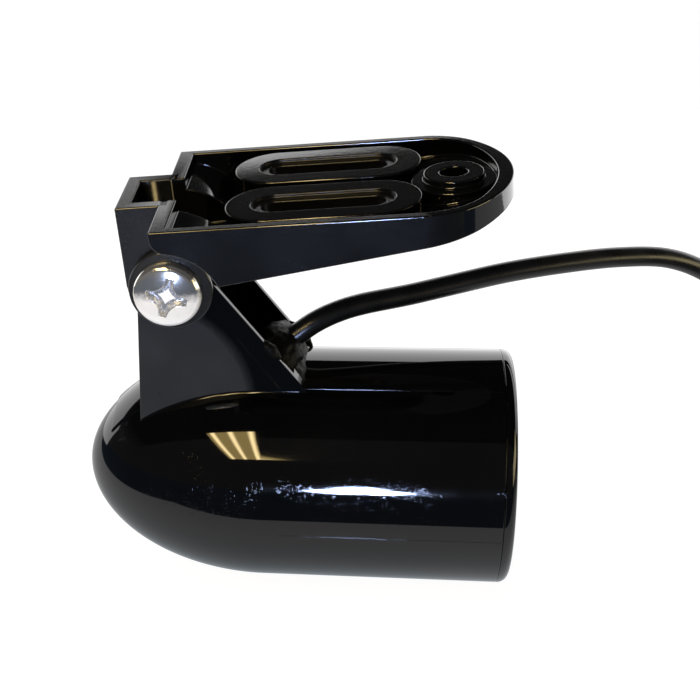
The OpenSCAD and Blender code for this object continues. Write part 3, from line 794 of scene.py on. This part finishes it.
for side, name in ((-1, "near"), (1, "far")):
    fillet = make_fillet("stem_base_" + name, side)
    settle(paint(fillet, pod_gloss), IN_POD, "pod", "pod_plastic")
    # Fine line where two parts of the mould met on the stem's side
    path = [(x, side * STEM_HALF, z) for x, z in STEM_LINE]
    ridge = tube_along("stem_line_" + name, path, STEM_LINE_R, LINE_SIDES)
    settle(paint(ridge, pod_gloss), IN_POD, "pod", "pod_plastic")

# Fine lines that the mould left along the barrel
for k, (angle, line_r) in enumerate(MOULD_LINES):
    path = []
    for x in np.linspace(MOULD_LINE_FROM, BARREL_END - SEAM_R, MOULD_LINE_POINTS):
        r = pod_r(x) - line_r / 2
        path.append((x, -r * math.cos(math.radians(angle)), r * math.sin(math.radians(angle))))
    ridge = tube_along("mould_line_%d" % k, path, line_r, LINE_SIDES)
    settle(paint(ridge, pod_gloss), IN_POD, "pod", "pod_plastic")


def make_cap():
    """The disc that closes the tail: a spigot in the cavity and a rounded rim."""
    r = pod_r(BARREL_END)
    spigot_r = CAVITY_R - CAP_GAP
    profile = [(BARREL_END - SPIGOT_L, 0.0), (BARREL_END - SPIGOT_L, spigot_r), (BARREL_END, spigot_r)]
    profile += [(BARREL_END, r - CAP_SEAM), (BARREL_END + CAP_SEAM, r)]
    profile += arc(POD_L - CAP_EDGE_R, r - CAP_EDGE_R, CAP_EDGE_R, 90, 0, 10)
    profile.append((POD_L, 0.0))
    return smooth(lathe("tail_disc", profile, POD_SIDES))


settle(paint(make_cap(), pod_gloss), IN_POD, "pod", "pod_plastic", "tail_cap")


# Bracket
def under_z(x):
    return UNDER_H + x * math.tan(math.radians(UNDER_ANGLE))


def floor_z(x):
    return under_z(x) + FLOOR_T / math.cos(math.radians(UNDER_ANGLE))


def on_circle(r, height):
    """Where a line that rises along the underside's slope meets a circle about the pivot."""
    t = math.tan(math.radians(UNDER_ANGLE))
    a, b, c = 1 + t * t, 2 * height * t, height * height - r * r
    x = (-b + math.sqrt(b * b - 4 * a * c)) / (2 * a)
    return math.degrees(math.atan2(height + x * t, x))


def tray_plan(side_in, end_in):
    """The tray from above: straight sides, round corners, a curved end, drawn in by its walls."""
    half = TRAY_W / 2 - side_in
    depth = END_DEPTH - end_in
    r = CORNER_R - side_in
    cx, cy = TRAY_END - END_DEPTH, TRAY_W / 2 - CORNER_R
    end_r = (depth ** 2 + cy ** 2 - r ** 2) / (2 * (depth - r))
    end_x = cx + depth - end_r
    turn = math.degrees(math.atan2(cy, cx - end_x))
    start = TRAY_START + end_in
    outline = [(start, -half)] + arc(cx, -cy, r, -90, -turn, CORNER_STEP)
    outline += arc(end_x, 0, end_r, -turn, turn, END_STEP)[1:-1]
    return outline + arc(cx, cy, r, turn, 90, CORNER_STEP) + [(start, half)]


def make_tray():
    """Shell with an arched underside over the pivot, and the pocket in it."""
    reach = ARCH_R + ARCH_CORNER_R
    corner_x = TRAY_START + ARCH_CORNER_R
    lean = math.degrees(math.atan2(math.sqrt(reach ** 2 - corner_x ** 2), corner_x))
    corner_z = reach * math.sin(math.radians(lean))
    end = TRAY_END + OVER
    side = [(TRAY_START, RIM_H)]
    side += arc(corner_x, corner_z, ARCH_CORNER_R, 180, 180 + lean, ARCH_CORNER_STEP)
    side += arc(0, 0, ARCH_R, lean, on_circle(ARCH_R, UNDER_H))[1:]
    side += [(end, under_z(end)), (end, RIM_H)]
    top = RIM_H + OVER
    pocket_side = [(TRAY_START, top)] + arc(0, 0, HUMP_R, HUMP_FROM, on_circle(HUMP_R, floor_z(0)))
    pocket_side += [(TRAY_END, floor_z(TRAY_END)), (TRAY_END, top)]
    tray = common(
        prism("bracket_shell", tray_plan(0, 0), 0, RIM_H), prism("side", side, -TRAY_W, TRAY_W, side=True)
    )
    pocket = common(
        prism("pocket", tray_plan(SIDE_T, RIM_T), -OVER, RIM_H + OVER / 2),
        prism("pocket_side", pocket_side, -TRAY_W, TRAY_W, side=True),
    )
    return cut(tray, pocket)


# Solid stretches over the arch start halfway through the tray's wall, and a little above its underside
FILL_R = (ARCH_R + HUMP_R) / 2
FILL_H = UNDER_H + FILL_RISE


def make_boss(outline, top):
    side = [(0, RIM_H + OVER)] + arc(0, 0, FILL_R, 90, on_circle(FILL_R, FILL_H))
    side += [(TRAY_END, under_z(TRAY_END) + FILL_RISE), (TRAY_END, RIM_H + OVER)]
    return common(prism("boss", outline, 0, top), prism("boss_side", side, -TRAY_W, TRAY_W, side=True))


def make_neck():
    fill = [(TRAY_START, FILL_H), (TRAY_START, FILL_R - FILL_UNDER)]
    fill += arc(0, 0, FILL_R, FILL_FROM, on_circle(FILL_R, FILL_H))
    block = box(NECK_START, TRAY_START + RIM_T / 2, 0, RIM_H)
    neck = prism("neck", block, -NECK_HALF, NECK_HALF, side=True)
    join(neck, prism("round", circle(0, 0, NECK_R), -NECK_HALF, NECK_HALF, side=True))
    return join(neck, prism("fill", fill, -NECK_HALF, NECK_HALF, side=True))


def make_bracket():
    """Tray and neck with the well between them, then the bosses, then slots, hole and bore."""
    bracket = join(make_tray(), make_neck())
    top = RIM_H + OVER
    well_x = NECK_START + WELL_WALL
    end = HUMP_R + OVER
    channel = [(0, top), (0, floor_z(0)), (end, floor_z(end)), (end, top)]
    cut(bracket, prism("well", box(well_x, -well_x, WELL_FLOOR, top), -WELL_HALF, WELL_HALF, side=True))
    cut(bracket, prism("channel", channel, -WELL_HALF, WELL_HALF, side=True))
    for y in (-SLOT_Y, SLOT_Y):
        join(bracket, make_boss(stadium(SLOT_X, y, SLOT_BOSS_L, SLOT_BOSS_W), RIM_H - SLOT_BOSS_DROP))
    join(bracket, make_boss(circle(HOLE_X, 0, DISC_R), RIM_H - RING_H))
    join(bracket, make_boss(circle(HOLE_X, 0, RING_R, RING_STEP), RIM_H))
    for y in (-SLOT_Y, SLOT_Y):
        recess = stadium(SLOT_X, y, SLOT_L + 2 * SLOT_RECESS, SLOT_W + 2 * SLOT_RECESS)
        cut(bracket, prism("recess", recess, RIM_H - SLOT_BOSS_DROP - SLOT_RECESS_D, top))
        cut(bracket, prism("slot", stadium(SLOT_X, y, SLOT_L, SLOT_W), -OVER, top))
    cut(bracket, prism("hole", circle(HOLE_X, 0, HOLE_R, BORE_STEP), -OVER, top))
    cut(bracket, prism("bore", circle(0, 0, BORE_R, BORE_STEP), -TRAY_W, TRAY_W, side=True))
    return soften(bracket, BRACKET_EDGE, BRACKET_EDGE_STEPS)


def past_slot(p):
    """How far a point lies outside the nearer slot's length or width."""
    return max(abs(p.x - SLOT_X) - SLOT_L / 2, abs(abs(p.y) - SLOT_Y) - SLOT_W / 2)


def finish_bracket(obj):
    """Gloss in the tray, round the hole and on rounded edges; satin elsewhere, in slots and well too."""
    paint(obj, bracket_satin, bracket_gloss, neck_satin)
    for face in obj.data.polygons:
        c = face.center
        corners = [obj.data.vertices[v].co for v in face.vertices]
        longest = max((a - b).length for a, b in zip(corners, corners[1:] + corners[:1]))
        within = abs(c.y) < TRAY_W / 2 - SIDE_T + NEAR and c.x > TRAY_START
        inside = within and under_z(c.x) + OVER < c.z < RIM_H - NEAR
        on_ring = math.hypot(c.x - HOLE_X, c.y) < DISC_R
        on_edge = face.area < EDGE_SHARE * BRACKET_EDGE * longest
        on_neck = c.x < TRAY_START and abs(c.y) > NECK_HALF - NEAR
        in_slot = max(past_slot(p) for p in corners) < SLOT_RECESS + BRACKET_EDGE + NEAR / 2
        in_well = abs(c.y) < WELL_HALF + BRACKET_EDGE and c.x < BRACKET_EDGE - NECK_START - WELL_WALL
        if (inside or on_ring or on_edge) and not in_slot and not in_well:
            face.material_index = 1
        elif on_neck:
            face.material_index = 2
    return obj


settle(finish_bracket(make_bracket()), IN_BRACKET, "bracket", "bracket_plastic", "bracket")


# Pivot hardware: local X runs out towards the screw's head
def make_washer(name, side):
    inner, outer = STEM_HALF, STEM_HALF + WASHER_T
    edge_r = WASHER_R - WASHER_EDGE
    profile = [(inner, EAR_HOLE_R)] + arc(inner + WASHER_EDGE, edge_r, WASHER_EDGE, 180, 90, 30)
    profile += arc(outer - WASHER_EDGE, edge_r, WASHER_EDGE, 90, 0, 30) + [(outer, EAR_HOLE_R)]
    washer = lathe(name, [(side * x, r) for x, r in profile], WASHER_SIDES, ring=True)
    return paint(smooth(washer), washer_black)


settle(make_washer("washer_head", 1), IN_PIVOT, "pod", "washer_plastic", "head_washer")
settle(make_washer("washer_nut", -1), IN_PIVOT, "pod", "washer_plastic", "nut_washer")


def inside_recess(y, z):
    """How far a point of the head's face lies inside the cross recess: flat-ended arms, hollow between."""
    turn = math.radians(RECESS_TURN)
    u = abs(y * math.cos(turn) + z * math.sin(turn))
    w = abs(z * math.cos(turn) - y * math.sin(turn))
    curve = math.hypot(u - RECESS_CURVE_AT, w - RECESS_CURVE_AT) - RECESS_CURVE_R
    return max(0.0, min(curve, RECESS_REACH - u, RECESS_REACH - w))


def make_screw():
    """Shank and pan head; the head sits a little off the washer's middle and has a worn cross recess."""
    seat = STEM_HALF + WASHER_T
    shoulder_r = HEAD_R - HEAD_EDGE
    tilt = math.asin(shoulder_r / (HEAD_CROWN - HEAD_EDGE))
    crown_x = seat + HEAD_SIDE - (HEAD_CROWN - HEAD_EDGE) * math.cos(tilt)
    profile = [(-SCREW_END, 0.0), (-SCREW_END, SCREW_R - SCREW_TIP), (-SCREW_END + SCREW_TIP, SCREW_R)]
    profile += [(seat - SCREW_NECK, SCREW_R), (seat, SCREW_R)]
    profile += [(seat + out, HEAD_R - inwards) for out, inwards in HEAD_FOOT]
    profile += arc(
        seat + HEAD_SIDE, shoulder_r, HEAD_EDGE, 90, math.degrees(tilt), count=HEAD_EDGE_STEPS
    )
    for i in range(1, HEAD_RINGS):
        r = HEAD_CROWN * math.sin(tilt) * (1 - i / HEAD_RINGS)
        profile.append((crown_x + math.sqrt(HEAD_CROWN ** 2 - r * r), r))
    profile.append((crown_x + HEAD_CROWN, 0.0))
    screw = lathe("screw", profile, HEAD_SIDES)
    sunk = [0.0] * len(screw.data.vertices)
    for v in screw.data.vertices:
        if v.co.x < seat - SCREW_NECK / 2:
            continue
        if v.co.x > seat + HEAD_SIDE:
            sunk[v.index] = inside_recess(v.co.y, v.co.z)
            share = min(sunk[v.index] / RECESS_FLARE, 1.0)
            v.co.x -= RECESS_D * share * share * (3 - 2 * share)
        v.co.y += HEAD_SHIFT
        v.co.z -= HEAD_DROP
    paint(screw, head_steel_sheen, recess_steel_shaded, recess_floor_glint)
    for face in screw.data.polygons:
        depth = max(sunk[v] for v in face.vertices)
        if depth > RECESS_LIP:
            face.material_index = 2 if depth > RECESS_FLAT else 1
    return smooth(screw, angle=40)


settle(make_screw(), IN_PIVOT, "pod", "stainless", "pivot_screw")


# Cable: one line from the stem, along its route, through the coil's turns to the connector
def through(points, step):
    """Even points along a smooth curve through the given points."""
    pts = np.array(points, float)
    ends = np.vstack([2 * pts[0] - pts[1], pts, 2 * pts[-1] - pts[-2]])
    out = []
    for i in range(len(pts) - 1):
        p0, p1, p2, p3 = ends[i:i + 4]
        count = max(2, int(np.linalg.norm(p2 - p1) / step))
        for k in range(count):
            t = k / count
            out.append(0.5 * (
                2 * p1 + (p2 - p0) * t + (2 * p0 - 5 * p1 + 4 * p2 - p3) * t * t
                + (3 * p1 - p0 - 3 * p2 + p3) * t ** 3
            ))
    out.append(pts[-1])
    return out


def coil_turns():
    """Turns of five radii in each layer, in and out by turns, moving over in the last part of each turn."""
    places = []
    for layer in range(COIL_LAYERS):
        radii = COIL_RADII if layer % 2 == 0 else COIL_RADII[::-1]
        places += [(r, COIL_BASE + layer * COIL_PITCH) for r in radii]
    first = Vector(CABLE_ROUTE[-1]).xy - Vector(COIL_AT)
    last = Vector(TAIL_ROUTE[0]).xy - Vector(COIL_AT)
    start = math.atan2(first.y, first.x)
    turn = (start - math.atan2(last.y, last.x)) / (2 * math.pi)
    out = []
    for i in range(1, int((len(places) - 1 + turn) * COIL_STEPS)):
        s = i / COIL_STEPS
        n = min(int(s), len(places) - 1)
        share = s - n
        over = max(0.0, (share - 1 + COIL_SHIFT) / COIL_SHIFT)
        over = over * over * (3 - 2 * over)
        (r0, z0), (r1, z1) = places[n], places[min(n + 1, len(places) - 1)]
        r, z = r0 + (r1 - r0) * over, z0 + (z1 - z0) * over
        a = start - 2 * math.pi * s
        out.append((COIL_AT[0] + r * math.cos(a), COIL_AT[1] + r * math.sin(a), z))
    return out


exit_dir = Vector((math.cos(math.radians(EXIT_ANGLE)), 0, math.sin(math.radians(EXIT_ANGLE))))
cable_out = NOSE_TIP + Vector(CABLE_OUT)
route = through([tuple(cable_out)] + CABLE_ROUTE, ROUTE_STEP)
line = np.array(route + coil_turns() + through(TAIL_ROUTE, ROUTE_STEP))
curve = bpy.data.curves.new("cable", "CURVE")
curve.dimensions = "3D"
curve.bevel_depth = CABLE_R * MM
curve.bevel_resolution = CABLE_BEVEL
curve.use_fill_caps = True
spline = curve.splines.new("POLY")
spline.points.add(len(line) - 1)
for point, at in zip(spline.points, line):
    point.co = (*(at * MM), 1)
spline.use_smooth = True
cable = bpy.data.objects.new("cable", curve)
bpy.context.scene.collection.objects.link(cable)
curve.materials.append(jacket)
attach(cable, "pod")
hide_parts("cable_run", "cable_coil", "cable_tail")

# Inner end of the cable, between the sealant and the potting
entry_profile = [(-ENTRY_L, 0.0), (-ENTRY_L, CABLE_R), (0.0, CABLE_R), (0.0, 0.0)]
entry = smooth(lathe("cable_entry", entry_profile, ENTRY_SIDES))
entry_place = Matrix.Translation(cable_out) @ Matrix.Rotation(-math.radians(EXIT_ANGLE), 4, "Y")
settle(paint(entry, jacket), entry_place, "pod", "cable_jacket")


# Sealant: an uneven lump between the stem's walls, with smears over their rear ends and the foot between
def make_lump(name, centre, radii, lean, rough, within_walls):
    bm = bmesh.new()
    bmesh.ops.create_icosphere(bm, subdivisions=LUMP_STEPS, radius=1)
    turn = Matrix.Rotation(math.radians(lean), 3, "Y")
    side = INNER_HALF - SEAL_GAP
    for v in bm.verts:
        out = v.co.copy()
        p = Vector(centre) + turn @ Vector([a * b for a, b in zip(out, radii)])
        p += (turn @ out) * rough * sum(share * noise.noise(p * scale) for scale, share in LUMP_NOISE)
        if within_walls:
            p.y = max(-side, min(side, p.y))
            p.z = max(FLOOR_UP + SEAL_GAP, p.z)
        v.co = p
    mesh = bpy.data.meshes.new(name)
    bm.to_mesh(mesh)
    bm.free()
    obj = bpy.data.objects.new(name, mesh)
    bpy.context.scene.collection.objects.link(obj)
    return paint(smooth(obj, angle=60), sealant)


seal_at = Vector(CABLE_OUT) - SEAL_BACK * exit_dir
lump = make_lump("seal_lump", seal_at, SEAL_RADII, 0, SEAL_ROUGH, True)
settle(lump, IN_POD, "pod", "sealant", "cable_seal")
for k, (at, radii) in enumerate(SMEARS):
    smear = make_lump("seal_smear_%d" % k, at, radii, REAR_ANGLE, SMEAR_ROUGH, False)
    settle(smear, IN_POD, "pod", "sealant")

# Pieces shown as they are in the CAD model
for node, mat in {
    "potting": resin, "piezo_disc": ceramic, "backing_pad": cork_brown, "isolation_ring": rubber,
    "signal_lead": red_wire, "ground_lead": copper, "lock_nut": steel, "nut_insert": nylon_blue,
    "coil_ties": tie_black, "plug_boot": rubber, "plug_body": plug_black, "plug_collar": plug_black,
    "plug_insert": insert_cream, "plug_pins": gold,
}.items():
    paint(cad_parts[node], mat)

# Surroundings, in metres. Floor: a white sheet on a dark desk, with a painted shadow close to where the pod
# rests
FLOOR_HALF = 3.0
FLOOR_GLOW = 0.95
FLOOR_GREY = 0.14
SHEET_FRONT = -0.0735
SHEET_SLANT = (0.746, 0.666, -0.1317)
SHEET_GLOW = (0.72, 0.324)
SHEET_FADE = (0.03, 0.15)
REST_SHADOW_AT = -0.03
REST_SHADOW_SQUEEZE = 0.5
REST_SHADOW_FADE = (0.008, 0.045)
REST_PAINTED_SHADOW = (0.5, 0.58, 0.64)
DESK_SHADE = (0.5, 0.7, 1)
DESK_GLOW = 0.08
WHITE = (1, 1, 1)

# White card behind, warm wall to the right, and a ceiling fixture with three tubes
CARD_Y = 0.17
CARD_TOP = 0.05
CARD_HALF = 0.6
CARD_GLOW = 1.7
WALL_X = 0.6
WALL_Y = (-0.32, 0.1)
WALL_Z = (-0.08, 0.12)
WALL_SHADE = (1, 0.85, 0.48)
WALL_GLOW = 4.0
FIXTURE_H = 1.5
FIXTURE_X = (-1.095, -0.3)
FIXTURE_Y = (-2.625, -0.975)
FIXTURE_TUBES = (-0.99, -0.6825, -0.3675)
FIXTURE_TUBE_EDGE = (0.015, 0.06)
FIXTURE_TRAY = (5.0, 3.6, 1.3)
FIXTURE_TUBE = (26, 20, 10)

# Room, by direction: slope and softness of its dark part's edge, and heights where that part begins
ROOM_EDGE = 0.77
ROOM_SOFT = 0.01
ROOM_RISE = (0.25, 0.4)
ROOM_FRONT = 0.07
ROOM_DARK = 0.015

# Lamps: place, aim, width and height, radiance. The window is a tall oval with a wider round one behind it
WINDOW_AIM = (-0.03, 0, -0.07)
WINDOW_GLOW = (70, 90, 150)
LAMPS = (
    ("window", (-0.195, -5.12, 0.09), WINDOW_AIM, (0.24, 0.96), WINDOW_GLOW),
    ("window_sides", (-0.195, -5.13, 0.09), WINDOW_AIM, (0.42, 0.42), WINDOW_GLOW),
    ("overhead", (-0.3, -0.5, 1.5), (0, 0, 0), (0.9, 0.9), grey(6)),
    ("front", (-0.1, -0.3, -0.06), (-0.05, 0, -0.05), (0.12, 0.12), grey(18)),
)
NOT_REFLECTED = ("overhead", "front")


def emission(tree, colour, strength):
    node = tree.nodes.new("ShaderNodeEmission")
    node.inputs["Color"].default_value = (*colour, 1)
    node.inputs["Strength"].default_value = strength
    return node


def mix_shader(tree, factor, a, b):
    node = tree.nodes.new("ShaderNodeMixShader")
    tree.links.new(factor, node.inputs["Fac"])
    tree.links.new(a, node.inputs[1])
    tree.links.new(b, node.inputs[2])
    return node.outputs["Shader"]


def camera_ray(tree):
    return tree.nodes.new("ShaderNodeLightPath").outputs["Is Camera Ray"]


def stage_plane(name, corners, shown=False):
    """A flat piece of the surroundings; returns its nodes and the input for its shader."""
    mesh = bpy.data.meshes.new(name)
    mesh.from_pydata(corners, [], [(0, 1, 2, 3)])
    obj = bpy.data.objects.new(name, mesh)
    bpy.context.scene.collection.objects.link(obj)
    obj.visible_camera = shown
    obj.visible_shadow = shown
    mat = bpy.data.materials.new(name)
    mat.use_nodes = True
    tree = mat.node_tree
    tree.nodes.clear()
    mesh.materials.append(mat)
    return tree, tree.nodes.new("ShaderNodeOutputMaterial").inputs["Surface"]


def make_floor():
    """White to the camera; other rays meet the sheet, with a painted shadow where the pod rests, and the
    desk.
    """
    z = FLOOR_Z * MM
    corners = [(x, y, z) for x, y in box(-FLOOR_HALF, FLOOR_HALF, -FLOOR_HALF, FLOOR_HALF)]
    tree, surface = stage_plane("floor", corners, shown=True)
    axes = axes_of(tree)
    behind_front = math_node(tree, "GREATER_THAN", axes["Y"], SHEET_FRONT)
    slant = math_node(
        tree, "ADD",
        math_node(tree, "MULTIPLY", axes["X"], SHEET_SLANT[0]),
        math_node(tree, "MULTIPLY", axes["Y"], SHEET_SLANT[1]),
    )
    behind_slant = math_node(tree, "GREATER_THAN", slant, SHEET_SLANT[2])
    on_sheet = math_node(tree, "MULTIPLY", behind_front, behind_slant)
    # Painted shadow: the sheet turns darker and bluish close to where the pod rests, in reflections only
    along = math_node(tree, "MULTIPLY", math_node(tree, "SUBTRACT", axes["X"], REST_SHADOW_AT), REST_SHADOW_SQUEEZE)
    away = math_node(tree, "ADD", square(tree, along), square(tree, axes["Y"]))
    clear = remap(tree, math_node(tree, "SQRT", away), 0, 1, *REST_SHADOW_FADE)
    sheet = tree.nodes.new("ShaderNodeEmission")
    tree.links.new(mix_colour(tree, clear, REST_PAINTED_SHADOW, WHITE), sheet.inputs["Color"])
    tree.links.new(remap(tree, axes["X"], *SHEET_GLOW, *SHEET_FADE), sheet.inputs["Strength"])
    desk = emission(tree, DESK_SHADE, DESK_GLOW)
    met = mix_shader(tree, on_sheet, desk.outputs["Emission"], sheet.outputs["Emission"])
    diffuse = tree.nodes.new("ShaderNodeBsdfDiffuse")
    diffuse.inputs["Color"].default_value = (*grey(FLOOR_GREY), 1)
    shown = tree.nodes.new("ShaderNodeAddShader")
    tree.links.new(emission(tree, WHITE, FLOOR_GLOW).outputs["Emission"], shown.inputs[0])
    tree.links.new(diffuse.outputs["BSDF"], shown.inputs[1])
    tree.links.new(mix_shader(tree, camera_ray(tree), met, shown.outputs["Shader"]), surface)


def make_card():
    corners = [(x, CARD_Y, z) for x, z in box(-CARD_HALF, CARD_HALF, FLOOR_Z * MM, CARD_TOP)]
    tree, surface = stage_plane("card", corners)
    tree.links.new(emission(tree, WHITE, CARD_GLOW).outputs["Emission"], surface)


def make_wall():
    tree, surface = stage_plane("wall", [(WALL_X, y, z) for y, z in box(*WALL_Y, *WALL_Z)])
    tree.links.new(emission(tree, WALL_SHADE, WALL_GLOW).outputs["Emission"], surface)


def make_fixture():
    """Three bright tubes over a glowing tray."""
    tree, surface = stage_plane("fixture", [(x, y, FIXTURE_H) for x, y in box(*FIXTURE_X, *FIXTURE_Y)])
    across = axes_of(tree)["X"]
    glow = 0.0
    for x in FIXTURE_TUBES:
        gap = math_node(tree, "ABSOLUTE", math_node(tree, "SUBTRACT", across, x))
        glow = math_node(tree, "MAXIMUM", glow, remap(tree, gap, 1, 0, *FIXTURE_TUBE_EDGE))
    light = tree.nodes.new("ShaderNodeEmission")
    tree.links.new(mix_colour(tree, glow, FIXTURE_TRAY, FIXTURE_TUBE), light.inputs["Color"])
    tree.links.new(light.outputs["Emission"], surface)


def make_world():
    """White to the camera; other rays meet a room that is lit in front and dark above and behind."""
    world = bpy.data.worlds.new("surroundings")
    bpy.context.scene.world = world
    world.use_nodes = True
    tree = world.node_tree
    tree.nodes.clear()
    out = tree.nodes.new("ShaderNodeOutputWorld")
    axes = axes_of(tree, "Generated")
    past_edge = math_node(tree, "ADD", axes["Y"], math_node(tree, "MULTIPLY", axes["Z"], ROOM_EDGE))
    past_edge = remap(tree, past_edge, 0, 1, -ROOM_SOFT, ROOM_SOFT)
    dark = math_node(tree, "MULTIPLY", past_edge, remap(tree, axes["Z"], 0, 1, *ROOM_RISE))
    room = tree.nodes.new("ShaderNodeBackground")
    tree.links.new(mix_colour(tree, dark, grey(ROOM_FRONT), grey(ROOM_DARK)), room.inputs["Color"])
    white = tree.nodes.new("ShaderNodeBackground")
    white.inputs["Color"].default_value = (*WHITE, 1)
    seen = mix_shader(tree, camera_ray(tree), room.outputs["Background"], white.outputs["Background"])
    tree.links.new(seen, out.inputs["Surface"])


def add_lamp(name, at, towards, size, radiance):
    """An oval area lamp, in metres, of a given radiance."""
    width, height = size
    strongest = max(radiance)
    lamp = bpy.data.lights.new(name, "AREA")
    lamp.shape = "ELLIPSE"
    lamp.size = width
    lamp.size_y = height
    lamp.color = [c / strongest for c in radiance]
    lamp.energy = strongest * math.pi * math.pi * width * height / 4
    obj = bpy.data.objects.new(name, lamp)
    obj.location = at
    obj.rotation_euler = (Vector(towards) - Vector(at)).to_track_quat("-Z", "Y").to_euler()
    obj.visible_camera = False
    obj.visible_glossy = name not in NOT_REFLECTED
    bpy.context.scene.collection.objects.link(obj)


make_floor()
make_card()
make_fixture()
make_wall()
make_world()
for lamp in LAMPS:
    add_lamp(*lamp)

# Camera
yaw, dip, roll = (math.radians(a) for a in (CAM_YAW, CAM_DIP, CAM_ROLL))
ahead = Vector((-math.sin(yaw) * math.cos(dip), math.cos(yaw) * math.cos(dip), -math.sin(dip)))
level = Vector((math.cos(yaw), math.sin(yaw), 0))
above = level.cross(ahead)
right = level * math.cos(roll) + above * math.sin(roll)
up = above * math.cos(roll) - level * math.sin(roll)
turn = Matrix((right, up, -ahead)).transposed().to_4x4()
lens = bpy.data.cameras.new("camera")
lens.sensor_width = CAM_SENSOR
lens.lens = CAM_LENS
lens.clip_start = CAM_NEAR * MM
camera = bpy.data.objects.new("camera", lens)
camera.matrix_world = Matrix.Translation(CAM_AT * MM) @ turn
bpy.context.scene.collection.objects.link(camera)
bpy.context.scene.camera = camera
bpy.context.scene.view_settings.view_transform = "Standard"
